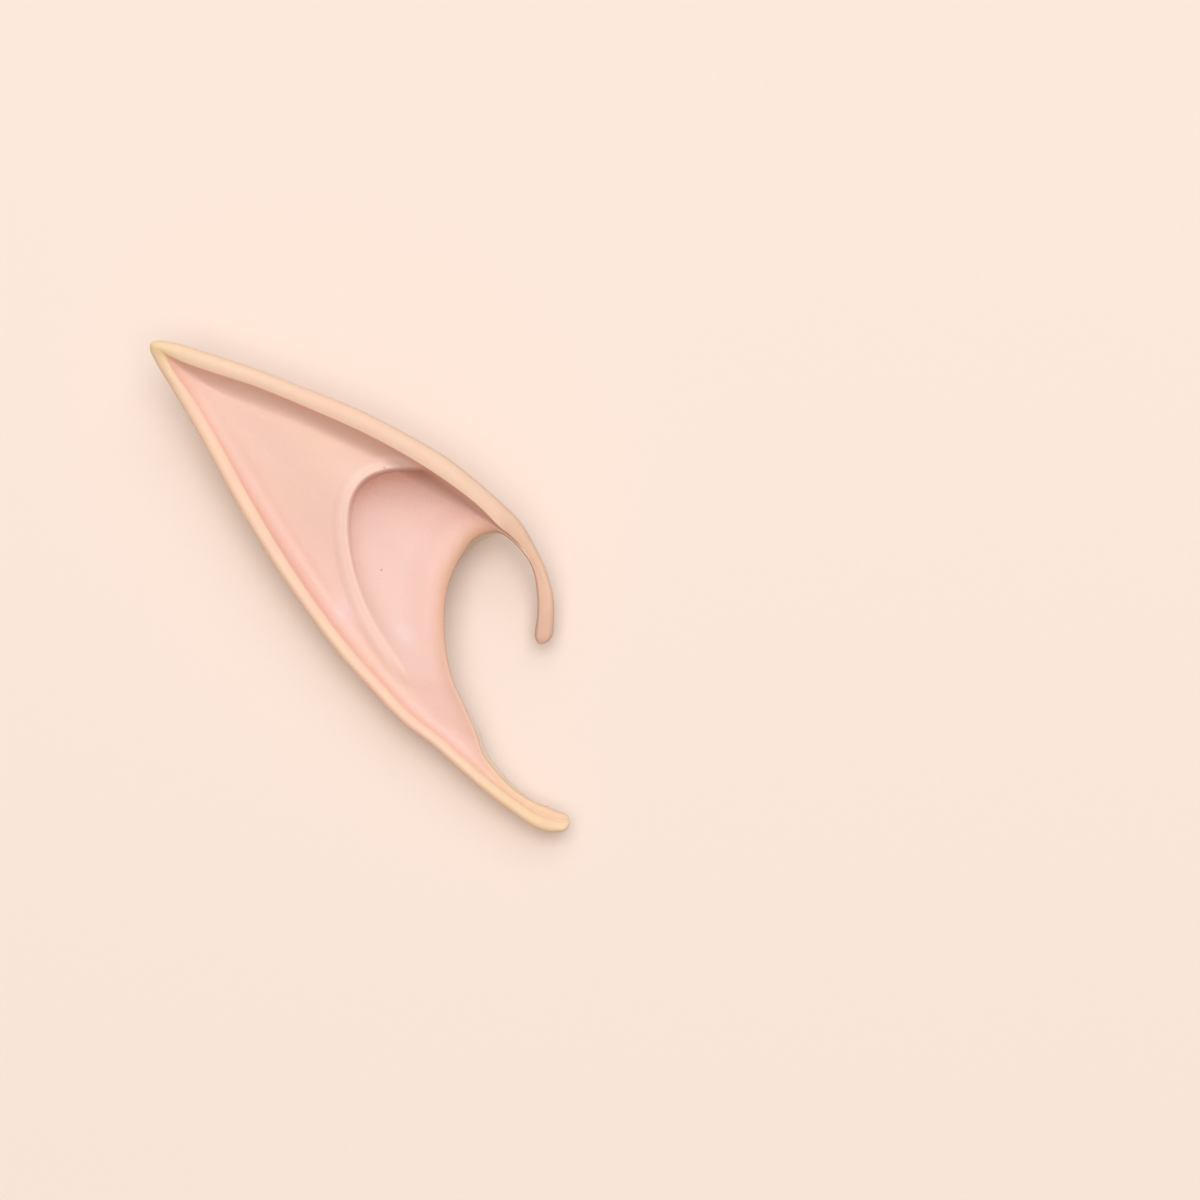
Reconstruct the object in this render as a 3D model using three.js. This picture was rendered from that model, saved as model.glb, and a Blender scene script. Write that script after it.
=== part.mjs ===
// Elf ear tip: a hollow latex ear that slips over the top of a real one, lying on its back.
// Millimetres. +Z is up, towards the viewer; +Y is up when the ear is worn; the tip is at -X, +Y.
// The origin is the bottom centre of the ear's box.
import * as THREE from "three";

// Driving sizes
const EAR_WIDTH = 74.6;
const EAR_LENGTH = 89.1;
const EAR_HEIGHT = 17.5;
const WALL = 1.2;
const LIP_WIDTH = 1.8;
const RIM_DEPTH = 3.4;
const RIM_SIDE_ROLL = 1.4;
const RIDGE_WIDTH = 2.6;
const RIDGE_HEIGHT = 0.6;
const RIDGE_FACE = 1;
const RIM_CLEAR = 1;
const RIM_SHORE = 3;
const GROOVE_DEPTH = 0.5;
const GROOVE_WIDTH = 2.4;
const BACK_RUN = 9;
const BACK_ROUND = 2.4;
const POCKET_END_GAP = 0.9;
const DIMPLE = 0.3;
const HOOK_CAP = 2.1;
const TAIL_CAP = 1.9;

// Concha: its drop below the ridge, the run from the ridge and from the lip to its full depth, and
// where it starts and how far it takes to deepen up the ear
const CONCHA_STEP = 2.4;
const CONCHA_RUN = 8;
const CONCHA_SHORE = 8;
const CONCHA_FOOT = 27;
const CONCHA_RISE = 36;

// Sag of the floor beside the long rim: its depth, how far above and below the line from tip to
// tail it starts and is full, and how far from the tip it is full
const SAG_DEPTH = 5;
const SAG_ABOVE = 12;
const SAG_BELOW = 8;
const SAG_RUN = 50;

// Slopes, in millimetres of height for each millimetre of run
const FLOOR_SLOPE = 0.052;
const HULL_SLOPE = 1.35;

// Shares and powers
const FIRST_DROP = 0.3;
const WALL_BEND = 2.1;
const BAND_CREST = 0.5;
const BEAD_LEVEL = 0.4;
const BEAD_FALL = 0.65;
const SOLID_WALL = 0.42;
const POCKET_END_POWER = 4;

// Most room that a part may take, as shares of the room that there is: wall and lip in the solid
// arms and in the hollow body, the bead, the rim and the band's roll
const WALL_IN_ARMS = 0.45;
const WALL_IN_BODY = 0.6;
const LIP_IN_ARMS = 0.5;
const LIP_IN_BODY = 0.3;
const BEAD_LIMIT = 0.5;
const RIM_LIMIT = 0.4;
const ROLL_OF_HEIGHT = 0.55;
const ROLL_OF_BAND = 0.9;

// Nearest and farthest place of the ridge, and where its face and the wall start at the earliest,
// as shares of the way from the lip or the bead
const RIDGE_NEAREST = 0.3;
const RIDGE_FARTHEST = 0.6;
const FACE_START = 0.6;
const WALL_START = 0.3;

// How far the pocket goes on under the band, as a share of the band, and its least height where it
// closes, as a share of the wall
const POCKET_UNDER_BAND = 0.2;
const POCKET_PINCH = 0.2;

// Least sine of the angle between ridge and section, and the least length that is divided by
const LEAST_SLANT = 0.45;
const LEAST_LENGTH = 1e-6;

// Finish
const LATEX_COLOUR = 0xf2c8b4;
const LATEX_ROUGHNESS = 0.55;

// Mesh fineness
const SLICES_PER_ROW = 2;
const CAP_RINGS = 3;
const CAP_TURN = 77;
const POCKET_PROBES = 60;
const OUTLINE_STEPS = 4;

// Where the points lie across the parts of a section, as shares of each part's run or in degrees
// of a round one
const LIP_SHARES = [0, 0.04, 0.2, 0.55];
const CONCHA_SHARES = [0, 0.16, 0.33, 0.5, 0.67, 0.84];
const FACE_SHARES = [0, 0.5];
const BEAD_SHARES = [0, 0.35, 0.65];
const SCAPHA_SHARES = [0, 0.2, 0.4, 0.6, 0.8];
const WALL_SHARES = [0, 0.25, 0.5, 0.7, 0.86];
const BAND_TURNS = [-90, -50, -15, 15, 40, 60, 77, 90];
const SIDE_TURNS = [25, 50, 72, 90];
const HULL_SHARES = [0.12, 0.24, 0.36, 0.48, 0.6, 0.73, 0.87, 1];
const POCKET_SHARES = [0.2, 0.4, 0.6, 0.78, 0.92];

// Plan of each section, from the hook's end over the arch, along the upper rim, round the tip
// and down the long rim to the tail. x and y are shares of the ear's width and length, from the
// left and from the bottom: the silhouette, the rim band's inner edge and the crescent's edge.
const PLAN_COLUMNS = ["outX", "outY", "bandX", "bandY", "edgeX", "edgeY"];
const PLAN = [
  [0.9645, 0.4115, 0.9375, 0.4110, 0.9195, 0.4110],
  [0.9668, 0.4500, 0.9411, 0.4500, 0.9253, 0.4500],
  [0.9640, 0.4900, 0.9388, 0.4900, 0.9252, 0.4900],
  [0.9442, 0.5460, 0.9231, 0.5430, 0.9140, 0.5420],
  [0.9140, 0.5980, 0.8927, 0.5825, 0.8874, 0.5786],
  [0.8834, 0.6400, 0.8600, 0.6110, 0.8512, 0.6066],
  [0.8434, 0.6730, 0.8360, 0.6270, 0.8300, 0.6160],
  [0.7800, 0.7200, 0.7870, 0.6680, 0.8130, 0.6150],
  [0.7100, 0.7660, 0.7160, 0.7144, 0.7900, 0.6095],
  [0.6200, 0.8100, 0.6267, 0.7631, 0.7670, 0.5955],
  [0.5000, 0.8620, 0.5150, 0.8140, 0.7520, 0.5780],
  [0.3700, 0.9060, 0.3838, 0.8635, 0.7400, 0.5620],
  [0.2400, 0.9480, 0.2550, 0.9080, 0.7290, 0.5440],
  [0.1300, 0.9780, 0.1500, 0.9370, 0.7205, 0.5280],
  [0.0600, 0.9960, 0.0820, 0.9570, 0.7160, 0.5180],
  [0.0200, 1.0000, 0.0490, 0.9690, 0.7130, 0.5110],
  [0.0040, 0.9960, 0.0375, 0.9710, 0.7110, 0.5040],
  [0.0000, 0.9850, 0.0420, 0.9610, 0.7090, 0.4960],
  [0.0120, 0.9590, 0.0600, 0.9350, 0.7070, 0.4860],
  [0.0500, 0.9040, 0.0961, 0.8910, 0.7040, 0.4660],
  [0.1150, 0.8090, 0.1547, 0.8070, 0.7025, 0.4430],
  [0.2000, 0.6770, 0.2344, 0.6830, 0.7030, 0.4100],
  [0.2850, 0.5570, 0.3150, 0.5680, 0.7065, 0.3750],
  [0.3700, 0.4520, 0.3966, 0.4650, 0.7150, 0.3380],
  [0.4500, 0.3630, 0.4747, 0.3785, 0.7280, 0.3020],
  [0.5250, 0.2930, 0.5467, 0.3100, 0.7430, 0.2750],
  [0.6000, 0.2270, 0.6188, 0.2445, 0.7620, 0.2380],
  [0.6700, 0.1820, 0.6882, 0.1985, 0.7800, 0.2020],
  [0.7400, 0.1290, 0.7578, 0.1460, 0.7970, 0.1610],
  [0.8000, 0.0850, 0.8144, 0.1050, 0.8265, 0.1280],
  [0.8600, 0.0460, 0.8660, 0.0720, 0.8710, 0.0890],
  [0.9200, 0.0120, 0.9200, 0.0400, 0.9240, 0.0610],
  [0.9550, 0.0020, 0.9530, 0.0280, 0.9500, 0.0530],
  [0.9820, 0.0015, 0.9800, 0.0200, 0.9770, 0.0425],
];

// Heights as shares of the ear's height, at the sections that at names.
// crest: top of the rim. drop: how far the band's inner edge lies below it. wallRun: run of the
// rim's inner wall, as a share of RIM_DEPTH. groove: share of the groove's depth at that wall's
// foot. shelf: floor behind the crescent's lip. edge: that lip's end. lip: its share of LIP_WIDTH.
// under: underside of the rim. belly: lowest back. back: back edge of the pocket. tuck: how far
// that edge lies behind the front one, as a share of LIP_WIDTH. hollow: how much of its full depth
// the pocket has.
const HEIGHT_COLUMNS = ["at", "crest", "drop", "wallRun", "groove", "shelf", "edge", "lip",
  "under", "belly", "back", "tuck", "hollow"];
const HEIGHTS = [
  [0, 0.34, 0.005, 0.2, 0.0, 0.330, 0.25, 1.0, 0.17, 0.17, 0.17, 0.1, 0.00],
  [2, 0.42, 0.005, 0.2, 0.0, 0.410, 0.33, 1.0, 0.21, 0.21, 0.21, 0.1, 0.00],
  [4, 0.59, 0.010, 0.2, 0.0, 0.575, 0.50, 1.0, 0.30, 0.30, 0.31, 0.1, 0.00],
  [6, 0.77, 0.020, 0.6, 0.0, 0.590, 0.53, 1.0, 0.34, 0.30, 0.28, -0.1, 0.20],
  [8, 0.91, 0.025, 1.9, 0.0, 0.585, 0.53, 1.0, 0.40, 0.14, 0.12, -0.4, 0.90],
  [10, 0.98, 0.025, 2.8, 0.0, 0.585, 0.53, 1.0, 0.48, 0.02, 0.05, -0.2, 1.00],
  [12, 1.00, 0.025, 3.0, 0.2, 0.585, 0.54, 1.0, 0.58, -0.10, 0.04, 0.6, 1.00],
  [14, 0.98, 0.025, 2.8, 0.2, 0.585, 0.55, 1.0, 0.66, -0.12, 0.04, 1.5, 1.00],
  [16, 0.94, 0.030, 2.6, 0.1, 0.585, 0.55, 1.0, 0.70, -0.12, 0.04, 1.5, 1.00],
  [18, 0.87, 0.030, 2.2, 0.2, 0.585, 0.55, 1.0, 0.62, -0.12, 0.04, 1.5, 1.00],
  [21, 0.69, 0.030, 1.8, 0.5, 0.580, 0.55, 0.9, 0.43, -0.12, 0.04, 1.5, 1.00],
  [24, 0.57, 0.030, 1.5, 0.5, 0.550, 0.52, 0.6, 0.31, -0.05, 0.05, 0.8, 1.00],
  [27, 0.51, 0.030, 1.0, 0.2, 0.470, 0.44, 0.4, 0.23, 0.06, 0.07, -0.2, 1.00],
  [29, 0.47, 0.025, 0.5, 0.0, 0.420, 0.38, 0.4, 0.19, 0.12, 0.12, -0.2, 0.50],
  [31, 0.41, 0.020, 0.4, 0.0, 0.370, 0.33, 0.6, 0.17, 0.15, 0.16, 0.0, 0.00],
  [33, 0.35, 0.010, 0.3, 0.0, 0.330, 0.28, 0.9, 0.16, 0.16, 0.17, 0.1, 0.00],
];
const TIP_ROW = 16;

// Plan of the curled ridge's crisp inner side, from the upper rim round to the tail, as shares
// like those of the sections. rise: share of the ridge's full height.
const RIDGE_COLUMNS = ["x", "y", "rise"];
const RIDGE = [
  [0.9000, 0.700, 0.0],
  [0.7800, 0.738, 0.0],
  [0.6900, 0.744, 0.6],
  [0.6200, 0.743, 0.9],
  [0.5600, 0.739, 1.0],
  [0.5100, 0.719, 1.0],
  [0.4800, 0.682, 1.0],
  [0.4705, 0.630, 1.0],
  [0.4760, 0.570, 1.0],
  [0.4950, 0.504, 1.0],
  [0.5240, 0.443, 1.0],
  [0.5620, 0.385, 0.9],
  [0.5950, 0.336, 0.5],
  [0.6200, 0.300, 0.0],
  [0.6600, 0.240, 0.0],
];
const RIDGE_STEPS = 90;

const at = (table, columns, name) => table.map((row) => row[columns.indexOf(name)]);
const clamp = THREE.MathUtils.clamp;
const lerp = THREE.MathUtils.lerp;
const toRadians = THREE.MathUtils.degToRad;
const ease = (x) => THREE.MathUtils.smoothstep(x, 0, 1);

// Value at u on a smooth curve that passes its rows without overshooting them.
function smoothValue(stations, values, u) {
  const last = stations.length - 1;
  if (u <= stations[0]) return values[0];
  if (u >= stations[last]) return values[last];
  const slopes = values.slice(1).map((v, i) => (v - values[i]) / (stations[i + 1] - stations[i]));
  const tangent = (i) => {
    if (i === 0 || i === last || slopes[i - 1] * slopes[i] <= 0) return 0;
    return (2 * slopes[i - 1] * slopes[i]) / (slopes[i - 1] + slopes[i]);
  };
  const i = stations.findIndex((station) => station > u) - 1;
  const span = stations[i + 1] - stations[i];
  const t = (u - stations[i]) / span;
  const rise = t * t * (3 - 2 * t);
  const enter = t * (1 - t) * (1 - t) * span * tangent(i);
  const leave = t * t * (t - 1) * span * tangent(i + 1);
  return lerp(values[i], values[i + 1], rise) + enter + leave;
}

// Smooth plan curve through two columns of a table, in millimetres.
function planCurve(table, columns, xName, yName) {
  const xs = at(table, columns, xName);
  const ys = at(table, columns, yName);
  const points = xs.map((x, i) => new THREE.Vector3(x * EAR_WIDTH, ys[i] * EAR_LENGTH, 0));
  return new THREE.CatmullRomCurve3(points, false, "centripetal");
}

const outline = planCurve(PLAN, PLAN_COLUMNS, "outX", "outY");
const bandEdge = planCurve(PLAN, PLAN_COLUMNS, "bandX", "bandY");
const crescent = planCurve(PLAN, PLAN_COLUMNS, "edgeX", "edgeY");
const ridgeLine = planCurve(RIDGE, RIDGE_COLUMNS, "x", "y").getPoints(RIDGE_STEPS);
const LAST_ROW = PLAN.length - 1;
const outlinePoints = outline.getPoints(LAST_ROW * OUTLINE_STEPS);
const upperRim = outlinePoints.slice(0, TIP_ROW * OUTLINE_STEPS + 1);
const lowerRim = outlinePoints.slice(TIP_ROW * OUTLINE_STEPS);
const rimTip = lowerRim[0];
const tipToTail = lowerRim[lowerRim.length - 1].clone().sub(rimTip).normalize();

// Height or share of the named column at section u.
function heightAt(name, u) {
  const column = at(HEIGHTS, HEIGHT_COLUMNS, name);
  return smoothValue(at(HEIGHTS, HEIGHT_COLUMNS, "at"), column, u);
}

const cross = (a, b) => a.x * b.y - a.y * b.x;

// Nearest place to a point on a row of plan points joined by straight pieces: its distance, the
// way to it as a number of pieces, and which side of the line the point is on.
function nearestOn(line, point) {
  let nearest = { distance: Infinity };
  for (let i = 0; i < line.length - 1; i += 1) {
    const piece = line[i + 1].clone().sub(line[i]);
    const gap = point.clone().sub(line[i]);
    const along = clamp(gap.dot(piece) / piece.lengthSq(), 0, 1);
    const side = -Math.sign(cross(piece, gap));
    const distance = gap.addScaledVector(piece, -along).length();
    if (distance < nearest.distance) nearest = { distance, way: i + along, side };
  }
  return nearest;
}

// Where the ridge crosses the section from edge to band: share is the way along the section, and
// slant is the sine of the angle between the two. A section that misses the ridge has it at the
// foot of the rim's wall.
function ridgeCrossing(edge, band) {
  const along = band.clone().sub(edge);
  for (let i = 0; i < ridgeLine.length - 1; i += 1) {
    const piece = ridgeLine[i + 1].clone().sub(ridgeLine[i]);
    const gap = ridgeLine[i].clone().sub(edge);
    const turn = cross(along, piece);
    const share = cross(gap, piece) / turn;
    const w = cross(gap, along) / turn;
    if (share > 0 && share < 1 && w >= 0 && w < 1) {
      return { share, slant: Math.abs(turn) / (along.length() * piece.length()) };
    }
  }
  return { share: 1, slant: 1 };
}

// All lengths of the section at u, in millimetres. r runs in plan from the crescent's edge.
function sectionSizes(u) {
  const t = u / LAST_ROW;
  const edge = crescent.getPoint(t);
  const band = bandEdge.getPoint(t);
  const out = outline.getPoint(t);
  const s = { edge, band, out };
  s.inward = band.clone().sub(edge).normalize();
  s.outward = out.clone().sub(band).normalize();
  s.inner = edge.distanceTo(band);
  s.width = s.inner + band.distanceTo(out);
  for (const name of ["crest", "drop", "shelf", "edge", "under", "belly", "back"]) {
    s[`${name}Z`] = heightAt(name, u) * EAR_HEIGHT;
  }
  s.tuck = heightAt("tuck", u) * LIP_WIDTH;
  s.hollow = heightAt("hollow", u);
  const wallLimit = lerp(WALL_IN_ARMS, WALL_IN_BODY, s.hollow) * s.inner;
  s.wallRun = Math.min(heightAt("wallRun", u) * RIM_DEPTH, wallLimit);
  const lipLimit = lerp(LIP_IN_ARMS, LIP_IN_BODY, s.hollow) * s.inner;
  s.lipRun = Math.min(heightAt("lip", u) * LIP_WIDTH, lipLimit);
  s.footR = s.inner - s.wallRun;
  s.groove = heightAt("groove", u) * GROOVE_DEPTH;
  const ridge = ridgeCrossing(edge, band);
  const farthest = Math.max(lerp(s.lipRun, s.inner, RIDGE_FARTHEST), s.inner - RIM_CLEAR);
  const nearest = lerp(s.lipRun, farthest, RIDGE_NEAREST);
  s.ridgeR = clamp(ridge.share * s.inner, nearest, farthest);
  const slant = Math.max(ridge.slant, LEAST_SLANT);
  s.faceRun = RIDGE_FACE / slant;
  s.beadRun = Math.min(RIDGE_WIDTH / slant, BEAD_LIMIT * (s.inner - s.ridgeR));
  s.rimRun = Math.min(RIM_DEPTH, RIM_LIMIT * s.width);
  const rollLimit = ROLL_OF_HEIGHT * (s.crestZ - s.underZ);
  s.bandRoll = Math.min(rollLimit, ROLL_OF_BAND * (s.width - s.inner), RIM_SIDE_ROLL);
  return s;
}

// Plan point of the section at r.
function planPoint(s, r) {
  if (r <= s.inner) return s.edge.clone().addScaledVector(s.inward, r);
  return s.band.clone().addScaledVector(s.outward, r - s.inner);
}

// How far the floor hangs at a plan point: nothing above the line from tip to tail, full below it,
// and less towards the tip.
function sag(point) {
  const gap = point.clone().sub(rimTip);
  const below = ease((SAG_ABOVE - cross(tipToTail, gap)) / (SAG_ABOVE + SAG_BELOW));
  return SAG_DEPTH * below * ease(gap.dot(tipToTail) / SAG_RUN);
}

// Floor of the bowl without its relief: a gentle slope, less the sag, with a groove along the
// rim's wall.
function floorZ(s, r) {
  const away = Math.max(s.footR - r, 0) / GROOVE_WIDTH;
  const slope = s.shelfZ + FLOOR_SLOPE * Math.min(r, s.footR);
  return slope + sag(s.edge) - sag(planPoint(s, r)) - s.groove * Math.exp(-away * away);
}

// Height of the ridge and depth of the concha over the plain floor at r. Outside its line the
// ridge is a level bead that falls off; inside, a steep face meets the concha, which goes on
// falling. front is for the front of the wall and under, without the bead, for its underside.
function relief(s, r) {
  const point = planPoint(s, r);
  const { distance, way, side } = nearestOn(ridgeLine, point);
  const q = distance * side;
  const rows = RIDGE.map((_, k) => k);
  const row = (way / RIDGE_STEPS) * (RIDGE.length - 1);
  const rise = RIDGE_HEIGHT * smoothValue(rows, at(RIDGE, RIDGE_COLUMNS, "rise"), row);
  const bead = rise * (1 - ease((q / RIDGE_WIDTH - BEAD_LEVEL) / BEAD_FALL));
  const depth = CONCHA_STEP * ease((point.y - CONCHA_FOOT) / CONCHA_RISE);
  const slope = (1 - FIRST_DROP) * ease(-q / CONCHA_RUN);
  const start = FIRST_DROP * ease((RIDGE_WIDTH - q) / (RIDGE_WIDTH + RIDGE_FACE));
  const front = lerp(-depth * (FIRST_DROP + slope), bead, ease((q + RIDGE_FACE) / RIDGE_FACE));
  const fade = ease((r - s.lipRun) / CONCHA_SHORE) * ease((s.inner - RIM_CLEAR - r) / RIM_SHORE);
  return { front: front * fade, under: -depth * (start + slope) * fade };
}

// Front of the section at r: a quarter-round lip, the floor, a wall that turns up late, and a band
// that is an arc on each side of its crest.
function frontZ(s, r) {
  if (r >= s.inner) {
    const f = (r - s.inner) / (s.width - s.inner);
    if (f <= BAND_CREST) return s.crestZ - s.dropZ * (1 - f / BAND_CREST) ** 2;
    const high = Math.min((f - BAND_CREST) / (1 - BAND_CREST), 1);
    return s.crestZ - s.bandRoll * (1 - Math.sqrt(1 - high * high));
  }
  const floor = floorZ(s, r) + relief(s, r).front;
  if (r >= s.footR) {
    const rise = s.crestZ - s.dropZ - floorZ(s, s.inner);
    return floor + rise * ((r - s.footR) / s.wallRun) ** WALL_BEND;
  }
  const lip = clamp(1 - r / s.lipRun, 0, 1);
  return floor - (s.shelfZ - s.edgeZ) * (1 - Math.sqrt(1 - lip * lip));
}

// Front of the section, from the crescent's edge to the silhouette.
function frontPoints(s) {
  const faceR = Math.max(s.ridgeR - s.faceRun, lerp(s.lipRun, s.ridgeR, FACE_START));
  const beadR = s.ridgeR + s.beadRun;
  const wallR = Math.max(s.footR, lerp(beadR, s.inner, WALL_START));
  const parts = [
    [0, s.lipRun, LIP_SHARES],
    [s.lipRun, faceR, CONCHA_SHARES],
    [faceR, s.ridgeR, FACE_SHARES],
    [s.ridgeR, beadR, BEAD_SHARES],
    [beadR, wallR, SCAPHA_SHARES],
    [wallR, s.inner, WALL_SHARES],
    [s.inner, s.width, BAND_TURNS.map((turn) => {
      const half = turn < 0 ? BAND_CREST : 1 - BAND_CREST;
      return BAND_CREST + half * Math.sin(toRadians(turn));
    })],
  ];
  const across = parts.flatMap(([start, end, shares]) => shares.map((f) => lerp(start, end, f)));
  return across.map((r) => [r, frontZ(s, r)]);
}

// Back of the section at r: a hull that falls away from both rims to a flat belly and rises to the
// back edge. In narrow places the two rims share the room, so that the hull stays round.
function hullZ(s, r) {
  const point = planPoint(s, r);
  const upper = Math.max(nearestOn(upperRim, point).distance - RIM_DEPTH, 0);
  const lower = Math.max(nearestOn(lowerRim, point).distance - RIM_DEPTH, 0);
  const inside = (upper * lower) / Math.max(Math.hypot(upper, lower), LEAST_LENGTH);
  const side = s.underZ - HULL_SLOPE * inside;
  const base = lerp(s.backZ, s.bellyZ, ease(r / Math.min(BACK_RUN, s.width / 2)));
  const round = BACK_ROUND * s.hollow;
  return Math.max(0, (side + base + Math.hypot(side - base, round)) / 2);
}

// Outside of the section from below the silhouette to the back edge.
function backPoints(s) {
  const points = [];
  const sideZ = s.crestZ - s.bandRoll;
  for (const angle of SIDE_TURNS) {
    const turn = toRadians(angle);
    const r = s.width - s.rimRun * (1 - Math.cos(turn));
    points.push([r, lerp(sideZ, s.underZ, Math.sin(turn))]);
  }
  for (const f of HULL_SHARES) {
    const r = lerp(s.width - s.rimRun, s.tuck, f);
    points.push([r, hullZ(s, r)]);
  }
  return points;
}

// Underside of the front wall and inside of the back wall at r.
function pocketZ(s, r, wall) {
  const lip = lerp(s.edgeZ, s.shelfZ, r / s.lipRun);
  const front = Math.min(floorZ(s, r) + relief(s, r).under, lip);
  return { low: hullZ(s, r) + wall, high: front - wall };
}

// How far the pocket can reach before its two walls come closer than the gap at its blind end.
function pocketReach(s, start, wall) {
  const full = s.inner + POCKET_UNDER_BAND * (s.width - s.inner);
  for (let k = 1; k <= POCKET_PROBES; k += 1) {
    const r = lerp(start, full, k / POCKET_PROBES);
    const { low, high } = pocketZ(s, r, wall);
    if (high - low < POCKET_END_GAP) return r;
  }
  return full;
}

// Inside of the pocket, from its back edge to its blind end and out again to the front edge.
function hollowPoints(s) {
  const wall = Math.min(WALL, SOLID_WALL * (s.edgeZ - s.backZ));
  const mouthR = Math.max(s.tuck, 0);
  const end = lerp(mouthR + DIMPLE, pocketReach(s, mouthR + DIMPLE, wall), s.hollow);
  const across = (f, side) => {
    const r = lerp(mouthR, end, f);
    const { low, high } = pocketZ(s, r, wall);
    const open = Math.max(high - low, POCKET_PINCH * wall);
    const half = (open / 2) * Math.sqrt(1 - f ** POCKET_END_POWER);
    return [r, (low + high) / 2 + side * half];
  };
  return [
    [s.tuck, s.backZ + wall],
    ...POCKET_SHARES.map((f) => across(f, -1)),
    across(1, 0),
    ...[...POCKET_SHARES].reverse().map((f) => across(f, 1)),
    [0, s.edgeZ - wall],
  ];
}

// Closed loop of the section at u, as points in space.
function sectionLoop(u) {
  const s = sectionSizes(u);
  const place = ([r, z]) => planPoint(s, r).setZ(z);
  return [...frontPoints(s), ...backPoints(s), ...hollowPoints(s)].map(place);
}

// Rings that round off an end: the loop shrinks to its middle as it moves along outward.
function capRings(loop, outward, length) {
  const middle = new THREE.Vector3();
  loop.forEach((point) => middle.addScaledVector(point, 1 / loop.length));
  const rings = [];
  for (let k = 1; k <= CAP_RINGS; k += 1) {
    const turn = (k / CAP_RINGS) * toRadians(CAP_TURN);
    rings.push(loop.map((point) => point.clone().sub(middle).multiplyScalar(Math.cos(turn))
      .add(middle).addScaledVector(outward, length * Math.sin(turn))));
  }
  return { rings, tip: middle.clone().addScaledVector(outward, length) };
}

// Closed mesh over a row of loops, with a fan at each end.
function loftGeometry(loops, firstTip, lastTip) {
  const count = loops[0].length;
  const vertices = [...loops.flat(), firstTip, lastTip];
  const faces = [];
  const firstIndex = vertices.length - 2;
  const lastIndex = vertices.length - 1;
  const lastLoop = (loops.length - 1) * count;
  for (let j = 0; j < count; j += 1) {
    const next = (j + 1) % count;
    for (let i = 0; i < loops.length - 1; i += 1) {
      const a = i * count + j;
      const b = i * count + next;
      faces.push(a, b, b + count, a, b + count, a + count);
    }
    faces.push(firstIndex, next, j);
    faces.push(lastIndex, lastLoop + j, lastLoop + next);
  }
  const geometry = new THREE.BufferGeometry().setFromPoints(vertices);
  geometry.setIndex(faces);
  return geometry;
}

function earGeometry() {
  const loops = [];
  for (let k = 0; k <= LAST_ROW * SLICES_PER_ROW; k += 1) {
    loops.push(sectionLoop(k / SLICES_PER_ROW));
  }
  const hook = capRings(loops[0], outline.getTangent(0).negate(), HOOK_CAP);
  const tail = capRings(loops[loops.length - 1], outline.getTangent(1), TAIL_CAP);
  const rings = [...hook.rings.reverse(), ...loops, ...tail.rings];
  const geometry = loftGeometry(rings, hook.tip, tail.tip);
  geometry.computeBoundingBox();
  const box = geometry.boundingBox;
  const middle = box.getCenter(new THREE.Vector3());
  geometry.translate(-middle.x, -middle.y, -box.min.z);
  geometry.computeVertexNormals();
  return geometry;
}

const latex = new THREE.MeshStandardMaterial({
  color: LATEX_COLOUR,
  roughness: LATEX_ROUGHNESS,
  metalness: 0,
});

const shell = new THREE.Mesh(earGeometry(), latex);
shell.name = "ear_shell";

const ear = new THREE.Group();
ear.name = "elf_ear_tip";
ear.add(shell);

export default ear;
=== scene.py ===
"""Elf ear tip: one hollow latex ear, lying on its back on a plain pale table and seen from above.

Metres in Blender, millimetres in the tables' formulas. +Y is up in the picture, +Z faces the viewer.
The ear is one closed surface: a row of closed section loops, from the hook's end over the arch,
along the upper rim, round the tip and down the long rim to the tail.
"""

import bpy
import numpy as np
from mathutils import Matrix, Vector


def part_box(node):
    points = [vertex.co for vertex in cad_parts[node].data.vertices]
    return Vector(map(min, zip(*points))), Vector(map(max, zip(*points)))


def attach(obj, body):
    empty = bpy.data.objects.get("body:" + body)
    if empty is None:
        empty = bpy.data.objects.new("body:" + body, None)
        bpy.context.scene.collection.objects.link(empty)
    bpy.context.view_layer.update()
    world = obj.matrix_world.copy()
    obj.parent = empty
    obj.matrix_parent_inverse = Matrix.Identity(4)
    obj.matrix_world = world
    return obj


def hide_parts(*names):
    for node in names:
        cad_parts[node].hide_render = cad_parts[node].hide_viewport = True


bl_info = {
    "name": "Elf Ear Tip",
    "version": (1, 0, 0),
    "blender": (4, 5, 0),
    "location": "3D View > Sidebar > Ear",
    "description": "Models a hollow latex elf ear around its packed frame, with its table and light",
    "category": "Add Mesh",
}

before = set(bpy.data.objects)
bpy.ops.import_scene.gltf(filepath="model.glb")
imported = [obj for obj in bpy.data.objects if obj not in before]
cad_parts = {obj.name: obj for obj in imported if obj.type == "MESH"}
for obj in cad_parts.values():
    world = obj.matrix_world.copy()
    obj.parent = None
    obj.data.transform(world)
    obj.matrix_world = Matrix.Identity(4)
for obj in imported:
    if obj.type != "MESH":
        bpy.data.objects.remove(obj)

MM = 0.001
FRAME_LOW, FRAME_HIGH = (np.array(corner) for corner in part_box("ear_shell"))
FRAME_SIZE = FRAME_HIGH - FRAME_LOW
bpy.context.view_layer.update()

# Plan of each section as shares of the ear's width and length, from the left and from the bottom:
# the silhouette, the rim band's inner edge and the crescent's edge.
PLAN_COLUMNS = ("out_x", "out_y", "band_x", "band_y", "edge_x", "edge_y")
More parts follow.
